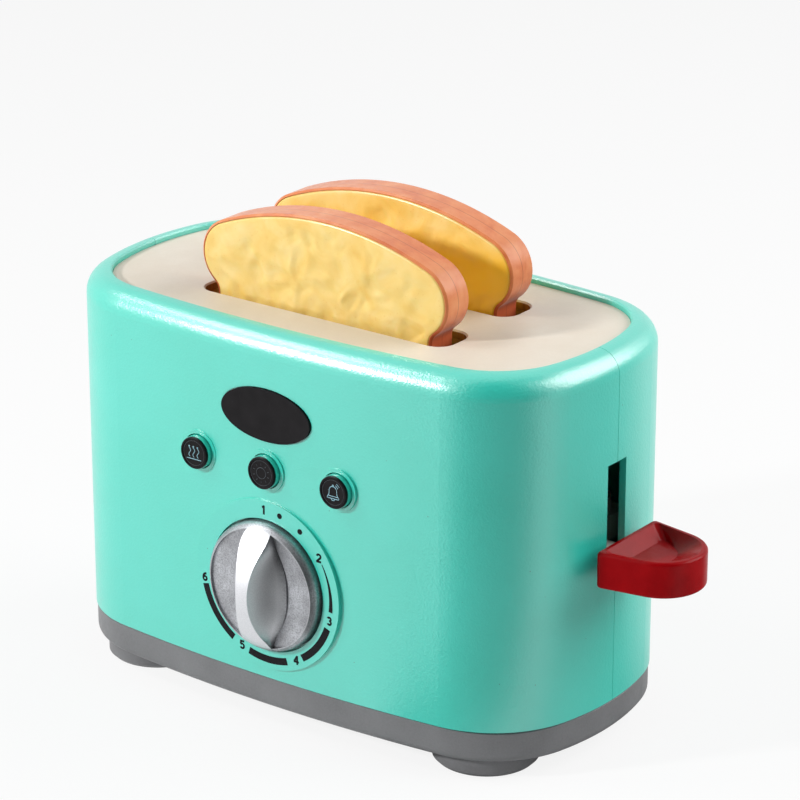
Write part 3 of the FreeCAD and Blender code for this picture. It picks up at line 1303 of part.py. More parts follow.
def slice_half(label, middle, side):
    """One crust half of a slice, fore (-1) or aft (1) of its middle plane, and its crumb plate."""
    face = f"{middle} + {side} * slice_thickness / 2"
    crust = new_body(f"{label}_crust_{'fore' if side < 0 else 'aft'}")
    aft = side > 0
    sketch = sketch_on(crust, "XZ_Plane", f"-({middle})")
    slice_outline(sketch, "0")
    pad(crust, sketch, "slice_thickness / 2", reverse=aft)
    soften(crust, level_at(size(face), axis="Y"), "crust_bevel", "Chamfer")
    sketch = sketch_on(crust, "XZ_Plane", f"-({face})")
    slice_outline(sketch, "crumb_inset")
    pocket(crust, sketch, "crumb_recess", reverse=aft)
    sketch = sketch_on(crust, "XZ_Plane", f"-({middle})")
    slice_outline(sketch, "crust_wall")
    hollow = "slice_thickness / 2 - crumb_recess - crust_web"
    pocket(crust, sketch, hollow, reverse=not aft)
    crumb = new_body(f"{label}_crumb_{'fore' if side < 0 else 'aft'}")
    sketch = sketch_on(crumb, "XZ_Plane", f"-({face} - {side} * crumb_recess)")
    slice_outline(sketch, "crumb_inset + crumb_gap")
    pad(crumb, sketch, "crumb_thickness", reverse=aft)
    proud = size(f"{face} + {side} * (crumb_thickness - crumb_recess)")
    soften(crumb, level_at(proud, axis="Y"), "crumb_bevel", "Chamfer")


# ---------------------------------------------------------------- the whole toy


def build():
    """Make every sub-part."""
    front_shell()
    shell("rear_shell", 1)
    deck_panel()
    base_tray()
    label_plate()
    for label, (sx, sy) in FEET.items():
        foot(label, sx, sy)
    toast_well("toast_well_front", -1)
    toast_well("toast_well_rear", 1)
    knob()
    dial_shaft()
    snail_cam()
    timer_case()
    latch_lever()
    latch_pin()
    for label, side in BUTTONS.items():
        button_plunger(f"{label}_plunger", side)
        button_cap(f"{label}_cap", side)
    button_spring_comb()
    lever_handle()
    carriage()
    guide_rods()
    return_spring()
    for label, side in SLICES.items():
        slice_half(label, f"{side} * slice_spacing / 2", -1)
        slice_half(label, f"{side} * slice_spacing / 2", 1)
    small = "small_screw_radius", "small_screw_head", "small_screw_head_height"
    ear_z = "shell_top - deck_drop - deck_thickness - ear_thickness"
    corners = [(end, side) for end in (-1, 1) for side in (-1, 1)]
    ears = [(f"{end} * ({EAR_X})", f"{side} * slice_spacing / 2", ear_z) for end, side in corners]
    screws("well_screws", ears, UP, *small, "ear_thickness + ear_screw_depth")
    feet = [(f"{sx} * foot_x", f"{sy} * foot_y", "foot_sink_depth") for sx, sy in FEET.values()]
    base = "base_screw_radius", "base_screw_head", "base_screw_head_height"
    screws("base_screws", feet, UP, *base, "base_screw_tip - foot_sink_depth")
    ear_back, comb_front = "-(timer_front - timer_ear_thickness)", "-(comb_back - comb_thickness)"
    timer = [(f"{end} * timer_screw_x", ear_back, "dial_z") for end in (-1, 1)]
    screws("timer_screws", timer, OUT, *small, "small_screw_length")
    comb = [(f"{end} * comb_screw_x", comb_front, "button_z") for end in (-1, 1)]
    screws("comb_screws", comb, OUT, *small, "small_screw_length")


def write():
    """Check every object, then write one STEP file for each sub-part."""
    doc.recompute()
    failed = [o.Label for o in doc.Objects if "Invalid" in o.State or "Error" in o.State]
    if failed:
        raise RuntimeError(f"failed objects: {failed}")
    for part in parts:
        shape = part.Shape
        if shape.isNull() or not shape.isValid() or not shape.Solids:
            raise RuntimeError(f"{part.Label} has no valid solid")
    if len({part.Label for part in parts}) < len(parts):
        raise RuntimeError("two sub-parts share a label")
    os.makedirs("parts", exist_ok=True)
    for part in parts:
        part.Shape.exportStep(f"parts/{part.Label}.step")
        print(f"{part.Label}: {len(part.Shape.Solids)} solid(s), {part.Shape.Volume:.0f} mm3")


build()
write()
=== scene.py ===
import math

import bmesh
import bpy
from mathutils import Matrix, Vector, noise


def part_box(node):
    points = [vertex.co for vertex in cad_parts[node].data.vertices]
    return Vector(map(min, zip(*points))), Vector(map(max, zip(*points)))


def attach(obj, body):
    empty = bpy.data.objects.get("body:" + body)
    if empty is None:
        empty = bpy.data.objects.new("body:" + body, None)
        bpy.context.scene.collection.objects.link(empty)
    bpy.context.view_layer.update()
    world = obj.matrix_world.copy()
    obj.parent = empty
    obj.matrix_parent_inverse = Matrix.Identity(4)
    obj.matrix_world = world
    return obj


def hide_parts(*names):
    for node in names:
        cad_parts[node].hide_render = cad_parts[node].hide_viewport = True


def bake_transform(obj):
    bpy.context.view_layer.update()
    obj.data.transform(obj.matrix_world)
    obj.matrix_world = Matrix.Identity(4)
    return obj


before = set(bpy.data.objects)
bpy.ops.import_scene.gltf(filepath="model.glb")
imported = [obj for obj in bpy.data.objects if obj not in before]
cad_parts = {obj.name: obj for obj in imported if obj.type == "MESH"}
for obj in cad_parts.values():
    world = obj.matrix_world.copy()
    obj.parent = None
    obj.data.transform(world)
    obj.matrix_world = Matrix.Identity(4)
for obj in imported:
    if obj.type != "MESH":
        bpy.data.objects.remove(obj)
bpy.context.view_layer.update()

MM = 0.001


# ---------------------------------------------------------------- camera and light

CAMERA_AZIMUTH = math.radians(36.65)
CAMERA_ELEVATION = math.radians(20.71)
CAMERA_TARGET = Vector((0.01305, 0.0, 0.09745))
CAMERA_DISTANCE = 1.1254
CAMERA_LENS = 161.0
CAMERA_SENSOR = 36.0

# azimuth and elevation in degrees, distance, width and height in metres, power in watts
LAMPS = {
    "key": (-33.0, 26.0, 1.3, 0.12, 0.12, 11.3),
    "overhead": (-58.0, 48.5, 1.2, 0.40, 0.26, 3.5),
    "side": (130.0, 33.0, 1.1, 0.90, 0.80, 10.8),
}
LAMP_TARGET = Vector((0.0, 0.0, 0.08))

WHITE = (1.0, 1.0, 1.0, 1.0)
AMBIENT_COLOUR = (0.96, 0.98, 1.0, 1.0)
AMBIENT_STRENGTH = 0.24

# how white the studio is round the object: azimuths in degrees from -90 to 270, front 0, right 90
ROOM = ((-90.0, 1.0), (-22.0, 1.0), (0.0, 0.2), (14.0, 0.0), (70.0, 0.0), (82.0, 0.35),
        (94.0, 1.0), (112.0, 0.35), (142.0, 0.12), (162.0, 1.0))

FLOOR_HALF_WIDTH = 4.0
FLOOR_PAPER = (0.78, 0.78, 0.78, 1.0)
FLOOR_GLOW = 0.86
# the floor takes its azimuths from a point 33 mm to the right of the origin and 60 mm in front
FLOOR_SHIFT = (-33.0 * MM, 60.0 * MM, 0.0)


def bearing(azimuth, elevation):
    """Unit vector away from the object: azimuth 0 is the front (-Y), pi / 2 the right (+X)."""
    flat = math.cos(elevation)
    return Vector((math.sin(azimuth) * flat, -math.cos(azimuth) * flat, math.sin(elevation)))


def hang(name, data, target, towards, distance):
    """A camera or lamp at a distance from its target, looking back at it."""
    holder = bpy.data.objects.new(name, data)
    holder.location = target + towards * distance
    holder.rotation_euler = towards.to_track_quat("Z", "Y").to_euler()
    bpy.context.collection.objects.link(holder)
    return holder


def add_camera():
    data = bpy.data.cameras.new("camera")
    data.sensor_width = CAMERA_SENSOR
    data.lens = CAMERA_LENS
    towards = bearing(CAMERA_AZIMUTH, CAMERA_ELEVATION)
    bpy.context.scene.camera = hang("camera", data, CAMERA_TARGET, towards, CAMERA_DISTANCE)


def add_lamp(name, azimuth, elevation, distance, width, height, power):
    """A soft box that looks at the middle of the object."""
    data = bpy.data.lights.new(name, "AREA")
    data.shape = "RECTANGLE"
    data.size = width
    data.size_y = height
    data.energy = power
    towards = bearing(math.radians(azimuth), math.radians(elevation))
    hang(name, data, LAMP_TARGET, towards, distance)


def calculated(tree, operation, *values):
    """The result of a math node; each value is a socket or a number."""
    made = tree.nodes.new("ShaderNodeMath")
    made.operation = operation
    for socket, value in zip(made.inputs, values):
        if isinstance(value, float):
            socket.default_value = value
        else:
            tree.links.new(value, socket)
    return made.outputs[0]


def fill_ramp(node, stops):
    """Gives a colour ramp its stops, each as (position, colour)."""
    points = node.color_ramp.elements
    while len(points) < len(stops):
        points.new(1.0)
    for point, (position, colour) in zip(points, stops):
        point.position = position
        point.color = colour


def seen_directly(tree):
    """1 for a ray from the camera, off a glossy surface or through glass, otherwise 0."""
    rays = tree.nodes.new("ShaderNodeLightPath").outputs
    outside = calculated(tree, "MAXIMUM", rays["Is Camera Ray"], rays["Is Glossy Ray"])
    return calculated(tree, "MAXIMUM", outside, rays["Is Transmission Ray"])


def studio_white(tree, place):
    """1 for a ray from the camera; other rays see the room, which is grey at the front right."""
    parts = tree.nodes.new("ShaderNodeSeparateXYZ")
    tree.links.new(place, parts.inputs[0])
    turn = calculated(tree, "ARCTAN2", parts.outputs["Y"], parts.outputs["X"])
    share = tree.nodes.new("ShaderNodeMapRange")
    share.inputs["From Min"].default_value = -math.pi
    share.inputs["From Max"].default_value = math.pi
    tree.links.new(turn, share.inputs["Value"])
    walls = tree.nodes.new("ShaderNodeValToRGB")
    fill_ramp(walls, [((azimuth + 90.0) / 360.0, (white, white, white, 1.0))
                      for azimuth, white in ROOM])
    tree.links.new(share.outputs["Result"], walls.inputs[0])
    camera_ray = tree.nodes.new("ShaderNodeLightPath").outputs["Is Camera Ray"]
    return calculated(tree, "MAXIMUM", camera_ray, walls.outputs["Color"])


def end_in_mix(tree, output_kind, factor, first, second):
    """Ends a tree in a mix of two shader nodes, the second where the factor is 1."""
    choice = tree.nodes.new("ShaderNodeMixShader")
    for source, socket in zip((factor, first.outputs[0], second.outputs[0]), choice.inputs):
        tree.links.new(source, socket)
    output = tree.nodes.new(output_kind)
    tree.links.new(choice.outputs[0], output.inputs["Surface"])


def add_world():
    """Even pale light for matt surfaces, and the studio for the rays that see it directly."""
    world = bpy.data.worlds.new("studio")
    bpy.context.scene.world = world
    world.use_nodes = True
    tree = world.node_tree
    tree.nodes.clear()
    lit = tree.nodes.new("ShaderNodeBackground")
    lit.inputs["Color"].default_value = AMBIENT_COLOUR
    lit.inputs["Strength"].default_value = AMBIENT_STRENGTH
    shown = tree.nodes.new("ShaderNodeBackground")
    shown.inputs["Color"].default_value = WHITE
    direction = tree.nodes.new("ShaderNodeTexCoord").outputs["Generated"]
    tree.links.new(studio_white(tree, direction), shown.inputs["Strength"])
    end_in_mix(tree, "ShaderNodeOutputWorld", seen_directly(tree), lit, shown)


def add_floor():
    """A pale sheet that shows white, darkened a little where the object keeps light off it."""
    half = FLOOR_HALF_WIDTH
    mesh = bpy.data.meshes.new("floor")
    mesh.from_pydata([(-half, -half, 0), (half, -half, 0), (half, half, 0), (-half, half, 0)],
                     [], [(0, 1, 2, 3)])
    floor = bpy.data.objects.new("floor", mesh)
    bpy.context.collection.objects.link(floor)
    material = bpy.data.materials.new("floor_paper")
    material.use_nodes = True
    tree = material.node_tree
    tree.nodes.clear()
    paper = tree.nodes.new("ShaderNodeBsdfDiffuse")
    paper.inputs["Color"].default_value = FLOOR_PAPER
    glow = tree.nodes.new("ShaderNodeEmission")
    spot = tree.nodes.new("ShaderNodeMapping")
    spot.inputs["Location"].default_value = FLOOR_SHIFT
    tree.links.new(tree.nodes.new("ShaderNodeTexCoord").outputs["Object"], spot.inputs["Vector"])
    tree.links.new(studio_white(tree, spot.outputs[0]), glow.inputs["Strength"])
    share = calculated(tree, "MULTIPLY", seen_directly(tree), FLOOR_GLOW)
    end_in_mix(tree, "ShaderNodeOutputMaterial", share, paper, glow)
    mesh.materials.append(material)


# ---------------------------------------------------------------- materials

# places that the materials know, in millimetres
# below this level the deck's slot walls carry tan painted shade and a painted warm reflection of
# the toast
SLOT_WALLS = (128.9, 128.6)     # Z: the deck panel turns tan just below its top
SCOOPS = (-56.6, -55.0)         # Y: from the knob's bar and rim to its scoops
BAR_POLE = (0.0, -64.6, 48.7)   # the middle of the top of the knob's bar
# where the rear slice's crumb takes deep orange painted shade and painted bounce light
REAR_SLICE = (5.0, 10.0)        # Y: in the gap between the two slices
CRUMB_SHADE_LEVELS = (153.0, 144.0)     # Z: down the visible crumb
# Z: where the crust takes red-brown painted shade, down to where the slices enter the slots
CRUST_SHADE_LEVELS = (139.0, 131.0)     # Z: down to where the slices enter the slots
SEAM = 17.0                     # Y, front or rear: where the halves of each crust meet
SEAM_EDGE = (0.20, 0.05)        # off the seam: where its dark line starts and where it is full


def screen(red, green, blue):
    """An 8-bit screen colour as a linear one."""
    linear = [c / 12.92 if c <= 0.04045 else ((c + 0.055) / 1.055) ** 2.4
              for c in (red / 255, green / 255, blue / 255)]
    return (*linear, 1.0)


class Finish:
    """A Principled material built up from patterns in the object's own coordinates."""

    # a mix node's sockets for each kind of value: first, second and result
    MIX_SOCKETS = {"RGBA": (6, 7, 2), "VECTOR": (4, 5, 1)}

    def __init__(self, name, **constants):
        self.material = bpy.data.materials.new(name)
        self.material.use_nodes = True
        self.tree = self.material.node_tree
        self.surface = self.tree.nodes["Principled BSDF"]
        for key, value in constants.items():
            socket = key.replace("_", " ").title().replace("Ior", "IOR")
            self.surface.inputs[socket].default_value = value
        self.place = self.tree.nodes.new("ShaderNodeTexCoord").outputs["Object"]
        self.normal = None

    def node(self, kind, **settings):
        made = self.tree.nodes.new(kind)
        for key, value in settings.items():
            setattr(made, key, value)
        return made

    def link(self, source, target):
        self.tree.links.new(source, target)

    def stretched(self, x, y, z):
        """The coordinates drawn out along an axis by a factor below 1."""
        mapping = self.node("ShaderNodeMapping")
        mapping.inputs["Scale"].default_value = (x, y, z)
        self.link(self.place, mapping.inputs["Vector"])
        return mapping.outputs[0]

    def axis(self, name):
        """The X, Y or Z coordinate, in metres."""
        parts = self.node("ShaderNodeSeparateXYZ")
        self.link(self.place, parts.inputs[0])
        return parts.outputs[name]

    def noise(self, size, detail=2.0, roughness=0.5, distortion=0.0, place=None):
        """Soft noise with features about size millimetres across."""
        made = self.node("ShaderNodeTexNoise")
        made.inputs["Scale"].default_value = 1.0 / (size * MM)
        made.inputs["Detail"].default_value = detail
        made.inputs["Roughness"].default_value = roughness
        made.inputs["Distortion"].default_value = distortion
        self.link(place or self.place, made.inputs["Vector"])
        return made.outputs["Fac"]

    def cells(self, size):
        """Distance to the nearest of scattered points size millimetres apart."""
        made = self.node("ShaderNodeTexVoronoi")
        made.inputs["Scale"].default_value = 1.0 / (size * MM)
        self.link(self.place, made.inputs["Vector"])
        return made.outputs["Distance"]

    def spread(self, factor, low, high, to_low=0.0, to_high=1.0):
        """Factor between low and high carried to between to_low and to_high."""
        made = self.node("ShaderNodeMapRange")
        made.inputs["From Min"].default_value = low
        made.inputs["From Max"].default_value = high
        made.inputs["To Min"].default_value = to_low
        made.inputs["To Max"].default_value = to_high
        self.link(factor, made.inputs["Value"])
        return made.outputs["Result"]

    def span(self, coordinate, start, end, most=1.0):
        """0 to most as a coordinate goes from start to end, both in millimetres."""
        return self.spread(coordinate, start * MM, end * MM, 0.0, most)

    def ramp(self, factor, *stops):
        """Colours along a factor, each stop as (position, colour)."""
        made = self.node("ShaderNodeValToRGB")
        fill_ramp(made, stops)
        self.link(factor, made.inputs[0])
        return made.outputs["Color"]

    def mixed(self, factor, first, second, kind="RGBA"):
        """The first value, or the second where the factor is 1; each is a socket or a colour."""
        made = self.node("ShaderNodeMix", data_type=kind)
        self.link(factor, made.inputs[0])
        first_socket, second_socket, result = self.MIX_SOCKETS[kind]
        for index, value in ((first_socket, first), (second_socket, second)):
            if isinstance(value, tuple):
                made.inputs[index].default_value = value
            else:
                self.link(value, made.inputs[index])
        return made.outputs[result]

    def tinted(self, base, colour, pattern, low, high, most=1.0):
        """The base with up to most of a colour, as the pattern goes from low to high."""
        return self.mixed(self.spread(pattern, low, high, 0.0, most), base, colour)

    def colour(self, value):
        self.link(value, self.surface.inputs["Base Color"])

    def rough(self, pattern, low, high):
        """Roughness low where the pattern is 0.3, high where it is 0.7."""
        self.link(self.spread(pattern, 0.3, 0.7, low, high), self.surface.inputs["Roughness"])

    def relief(self, height, depth, strength=1.0):
        """Relief depth millimetres deep, on top of what is there."""
        bump = self.node("ShaderNodeBump")
        bump.inputs["Distance"].default_value = depth * MM
        bump.inputs["Strength"].default_value = strength
        self.link(height, bump.inputs["Height"])
        if self.normal is not None:
            self.link(self.normal, bump.inputs["Normal"])
        self.normal = bump.outputs["Normal"]
        for socket in ("Normal", "Coat Normal"):
            self.link(self.normal, self.surface.inputs[socket])

    def flat_near(self, place, inner, outer):
        """Flat normals within inner of a place and smooth ones beyond outer, in millimetres."""
        away = self.node("ShaderNodeVectorMath", operation="DISTANCE")
        away.inputs[1].default_value = [value * MM for value in place]
        self.link(self.place, away.inputs[0])
        shape = self.node("ShaderNodeNewGeometry").outputs
        near = self.span(away.outputs["Value"], outer, inner)
        self.normal = self.mixed(near, shape["Normal"], shape["True Normal"], "VECTOR")


def mint_plastic():
    """Pale green moulding with a fine spark-eroded grain and the odd dark speck."""
    made = Finish("mint_plastic", specular_ior_level=0.12,
                  coat_weight=1.0, coat_ior=2.3, coat_roughness=0.30)
    cloud = made.noise(38.0, 3.0)
    base = made.ramp(cloud, (0.30, screen(30, 199, 178)), (0.70, screen(42, 205, 186)))
    grain = made.noise(0.55, 2.0, 0.6)
    grained = made.tinted(base, screen(70, 222, 200), grain, 0.25, 0.8, 0.16)
    made.colour(made.tinted(grained, screen(40, 130, 112), made.cells(7.5), 0.030, 0.018))
    made.rough(made.noise(2.4, 3.0), 0.44, 0.54)
    made.relief(made.noise(0.8, 2.0, 0.6), 0.10, 1.0)
    made.relief(cloud, 0.25, 0.12)
    return made.material


def cream_plastic():
    """Matt cream moulding, a little chalky, with tan painted shade and a painted warm reflection
    of the toast on the walls of its slots.
    """
    made = Finish("cream_plastic")
    cloud = made.noise(22.0, 4.0)
    base = made.ramp(cloud, (0.32, screen(221, 211, 195)), (0.68, screen(228, 220, 206)))
    grain = made.noise(0.7, 2.0)
    chalky = made.tinted(base, screen(212, 196, 180), grain, 0.3, 0.75, 0.18)
    streaks = made.noise(1.6, 4.0, 0.65, place=made.stretched(1.0, 1.0, 0.3))
    # painted shade and painted toast reflection on the slot walls, streaked
    painted_slot_shade = made.ramp(streaks, (0.3, screen(132, 92, 34)), (0.7, screen(176, 134, 62)))
    made.colour(made.mixed(made.span(made.axis("Z"), *SLOT_WALLS), chalky, painted_slot_shade))
    made.rough(made.noise(3.5, 3.0), 0.40, 0.52)
    made.relief(made.noise(0.8, 3.0, 0.6), 0.016, 0.8)
    return made.material


def grey_plastic():
    """Mid-grey moulding with a fine pale grain."""
    made = Finish("grey_plastic")
    cloud = made.noise(16.0, 3.0)
    base = made.ramp(cloud, (0.3, screen(108, 108, 110)), (0.7, screen(119, 119, 121)))
    grain = made.noise(0.6, 2.0)
    made.colour(made.tinted(base, screen(140, 140, 142), grain, 0.3, 0.75, 0.22))
    made.rough(made.noise(2.0, 3.0), 0.42, 0.55)
    made.relief(made.noise(0.8, 3.0, 0.65), 0.022, 0.9)
    return made.material


def black_plastic():
    """Near-black satin moulding with faint dust."""
    made = Finish("black_plastic", specular_ior_level=0.12)
    base = made.ramp(made.noise(6.0, 3.0), (0.3, screen(20, 18, 20)), (0.7, screen(28, 26, 28)))
    made.colour(made.tinted(base, screen(70, 68, 70), made.cells(1.4), 0.09, 0.04, 0.4))
    made.rough(made.noise(1.6, 3.0), 0.34, 0.46)
    made.relief(made.noise(0.5, 3.0, 0.6), 0.010, 0.8)
    return made.material


def silver_paint():
    """Silver lacquer: bright on the bar and the rim, and greyer in the two scoops as painted
    shade, with a flaky mottle there.
    """
    made = Finish("silver_paint", metallic=0.9)
    flakes = made.cells(0.32)
    smooth = made.ramp(flakes, (0.1, screen(236, 237, 240)), (0.6, screen(222, 223, 227)))
    cloud = made.noise(11.0, 3.0, 0.6)
    sparks = made.noise(0.5, 2.0, 0.7)
    # painted shade: the recessed scoops are greyer, mottled, with dark flakes
    mottled_scoop_shade = made.tinted(screen(200, 202, 207), screen(160, 161, 165), cloud, 0.36, 0.64)
    scoop_painted_shade = made.tinted(mottled_scoop_shade, screen(116, 116, 120), sparks, 0.42, 0.66, 0.6)
    depth = made.span(made.axis("Y"), *SCOOPS)
    made.colour(made.mixed(depth, smooth, scoop_painted_shade))
    made.rough(depth, 0.46, 0.44)
    # the CAD mesh has one stray vertex normal there, which would show as a white spark
    made.flat_near(BAR_POLE, 1.2, 1.7)
    made.relief(sparks, 0.012, 0.6)
    made.relief(flakes, 0.004, 0.6)
    return made.material


def red_plastic():
    """Deep red satin moulding."""
    made = Finish("red_plastic", specular_ior_level=0.04, coat_weight=0.16, coat_roughness=0.08)
    base = made.ramp(made.noise(7.0, 4.0), (0.3, screen(138, 2, 8)), (0.7, screen(156, 5, 12)))
    grain = made.noise(0.45, 2.0)
    made.colour(made.tinted(base, screen(172, 16, 24), grain, 0.35, 0.8, 0.22))
    made.rough(made.noise(1.4, 3.0), 0.30, 0.42)
    made.relief(made.noise(0.6, 3.0, 0.6), 0.016, 0.9)
    return made.material


def crumb_vinyl():
    """Yellow-cream vinyl in patches, with deep orange painted shade and painted bounce light
    towards the foot of the rear slice.
    """
    made = Finish("crumb_vinyl", coat_weight=0.45, coat_roughness=0.2,
                  subsurface_weight=0.1, subsurface_scale=0.002)
    patches = made.noise(11.0, 4.0, 0.55, 0.6)
    base = made.ramp(patches, (0.25, screen(236, 190, 88)), (0.5, screen(242, 206, 118)),
                     (0.78, screen(246, 218, 146)))
    porous = made.tinted(base, screen(222, 160, 60), made.cells(1.7), 0.16, 0.05, 0.35)
    # painted shade and bounce light: the rear slice's crumb turns deep orange towards its foot
    foot = calculated(made.tree, "MULTIPLY", made.span(made.axis("Y"), *REAR_SLICE),
                      made.span(made.axis("Z"), *CRUMB_SHADE_LEVELS, 0.85))
    made.colour(made.mixed(foot, porous, screen(244, 186, 12)))
    made.rough(made.noise(3.0, 3.0), 0.28, 0.42)
    made.relief(made.noise(2.4, 4.0, 0.6), 0.10, 0.5)
    made.relief(made.noise(0.6, 2.0), 0.012, 0.7)
    return made.material


def crust_vinyl():
    """Baked orange-brown vinyl, streaked round the band, with red-brown painted shade at its foot
    and a dark line at the seam.
    """
    made = Finish("crust_vinyl", specular_ior_level=0.45, sheen_weight=0.22, sheen_roughness=0.4)
    patches = made.noise(9.0, 4.0, 0.6, 0.4)
    base = made.ramp(patches, (0.25, screen(196, 92, 44)), (0.5, screen(218, 126, 72)),
                     (0.8, screen(232, 158, 106)))
    streaks = made.noise(2.2, 4.0, 0.6, place=made.stretched(0.35, 1.6, 0.35))
    streaky = made.tinted(base, screen(228, 144, 100), streaks, 0.35, 0.75, 0.4)
    # painted shade: the crust turns red-brown towards the slots, under its bulge
    foot_painted_shade = made.mixed(made.span(made.axis("Z"), *CRUST_SHADE_LEVELS, 0.7), streaky, screen(176, 62, 24))
    across = calculated(made.tree, "ABSOLUTE", made.axis("Y"))
    faint, full = SEAM_EDGE
    seam = calculated(made.tree, "MULTIPLY", made.span(across, SEAM - faint, SEAM - full),
                      made.span(across, SEAM + faint, SEAM + full, 0.5))
    made.colour(made.mixed(seam, foot_painted_shade, screen(120, 44, 18)))
    made.rough(made.noise(2.0, 3.0), 0.34, 0.48)
    made.relief(made.noise(0.7, 3.0, 0.6), 0.020, 0.8)
    made.relief(streaks, 0.03, 0.5)
    return made.material


def liner_plastic():
    """Moulding of the toast wells, coloured ochre as painted shade with a painted warm reflection
    of the toast, with a fine brown grain.
    """
    made = Finish("liner_plastic")
    cloud = made.noise(12.0, 4.0)
    # painted shade and painted toast reflection: the wells' ochre
    base = made.ramp(cloud, (0.3, screen(178, 146, 74)), (0.7, screen(196, 164, 90)))
    made.colour(made.tinted(base, screen(150, 120, 60), made.noise(0.8, 2.0), 0.3, 0.8, 0.3))
    made.rough(made.noise(2.5, 3.0), 0.42, 0.58)
    made.relief(made.noise(0.8, 3.0, 0.6), 0.02, 0.8)
    return made.material


def inner_plastic():
    """Natural off-white acetal of the working parts, with faint flow lines."""
    made = Finish("inner_plastic")
    flow = made.noise(5.0, 4.0, 0.6, 1.2, made.stretched(1.0, 1.0, 0.25))
    made.colour(made.ramp(flow, (0.3, screen(206, 203, 194)), (0.7, screen(222, 219, 211))))
    made.rough(made.noise(1.8, 3.0), 0.34, 0.48)
    made.relief(made.noise(0.5, 2.0), 0.010, 0.7)
    return made.material


def turned_steel():
    """Bright zinc-plated steel with drawing lines along it."""
    made = Finish("turned_steel", metallic=1.0)
    lines = made.noise(0.3, 3.0, 0.6, place=made.stretched(1.0, 1.0, 0.05))
    made.colour(made.ramp(lines, (0.3, screen(168, 170, 174)), (0.7, screen(198, 200, 204))))
    made.rough(lines, 0.24, 0.38)
    made.relief(lines, 0.006, 0.6)
    return made.material


def spring_steel():
    """Darker oiled spring wire and strip."""
    made = Finish("spring_steel", metallic=1.0)
    cloud = made.noise(1.5, 4.0, 0.6)
    made.colour(made.ramp(cloud, (0.3, screen(112, 110, 108)), (0.7, screen(146, 144, 140))))
    made.rough(cloud, 0.28, 0.44)
    made.relief(made.noise(0.3, 2.0), 0.005, 0.6)
    return made.material


def ink(name, dark, light):
    """Pad-printed ink, a little uneven."""
    made = Finish(name, specular_ior_level=0.12)
    made.colour(made.ramp(made.noise(0.8, 3.0, 0.6), (0.3, dark), (0.75, light)))
    made.rough(made.noise(0.6, 2.0), 0.38, 0.52)
    made.relief(made.noise(0.4, 2.0), 0.006, 0.6)
    return made.material


FINISHES = {
    "mint": mint_plastic(),
    "cream": cream_plastic(),
    "grey": grey_plastic(),
    "black": black_plastic(),
    "silver": silver_paint(),
    "red": red_plastic(),
    "crust": crust_vinyl(),
    "crumb": crumb_vinyl(),
    "liner": liner_plastic(),
    "inner_plastic": inner_plastic(),
    "steel": turned_steel(),
    "spring_steel": spring_steel(),
}
DARK_INK = ink("dark_ink", screen(14, 13, 17), screen(30, 28, 32))
PALE_INK = ink("pale_ink", screen(140, 186, 200), screen(170, 212, 222))
GREY_INK = ink("grey_ink", screen(62, 66, 70), screen(84, 90, 94))


def dress_nodes():
    """Every carried-over CAD node takes the finish of its material slot."""
    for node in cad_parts.values():
        slots = node.data.materials
        for index, old in enumerate(slots):
            slots[index] = FINISHES[old.name.split(".")[0]]


# ---------------------------------------------------------------- making pieces

def loose_piece(name, mesh, material):
    mesh.materials.clear()
    mesh.materials.append(material)
    piece = bpy.data.objects.new(name, mesh)
    bpy.context.collection.objects.link(piece)
    return piece


def finished_piece(name, mesh, material, body):
    piece = loose_piece(name, mesh, material)
    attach(piece, body)
    return piece


def bridge(build, first, second):
    """A closed band of quads between two rings of as many vertices."""
    for index in range(len(first)):
        after = (index + 1) % len(first)
        build.faces.new((first[index], first[after], second[after], second[index]))


def written(build, mesh):
    """The mesh with the built shape in it, the normals turned outwards."""
    bmesh.ops.recalc_face_normals(build, faces=build.faces)
    build.to_mesh(mesh)
    build.free()
    return mesh


def add_spline(curve, points, closed):
    """A polyline through points in metres."""
    spline = curve.splines.new("POLY")
    spline.points.add(len(points) - 1)
    for target, point in zip(spline.points, points):
        target.co = (*point, 1.0)
    spline.use_cyclic_u = closed


def curve_mesh(curve):
    """The form of a curve as a mesh."""
    holder = bpy.data.objects.new(curve.name, curve)
    bpy.context.collection.objects.link(holder)
    bpy.context.view_layer.update()
    mesh = bpy.data.meshes.new_from_object(holder)
    bpy.data.objects.remove(holder)
    return mesh


def arc_points(centre, radius, start, end, count):
    """Points on an arc, the angles in degrees counter-clockwise from the right."""
    turns = [math.radians(start + (end - start) * number / count) for number in range(count + 1)]
    return [(centre[0] + radius * math.cos(turn), centre[1] + radius * math.sin(turn))
            for turn in turns]


def circle(centre, radius, count):
    """A closed ring, whose last point is its first again."""
    return arc_points(centre, radius, 0.0, 360.0, count)


# ---------------------------------------------------------------- the crumb faces

# without a seed the noise module takes one from the clock
NOISE_SEED = 11
CRUMB_RELIEF = 0.70 * MM
# how far apart the plates are in the noise
CRUMB_STEP = 3.7
# points round each face, rings across it, and the share of the way in where bumps are full
CRUMB_POINTS = 270
CRUMB_RINGS = 42
CRUMB_FADE = 0.11
# the level below the face where the CAD plate is widest, the top of the straight side, and the
# rounded edge between that and the face as (inset, level) in millimetres
CRUMB_BEVEL = 0.5
CRUMB_SIDE = 0.75
CRUMB_EDGE = ((0.05, 0.48), (0.18, 0.30), (0.38, 0.15), (0.65, 0.06))
# the size of the bumps and how far they are bent
BUMP_SIZE = 9.0 * MM
BUMP_BEND = 0.45
# how near to a level a vertex of the CAD mesh has to be to belong to it
LEVEL_TOLERANCE = 0.02 * MM


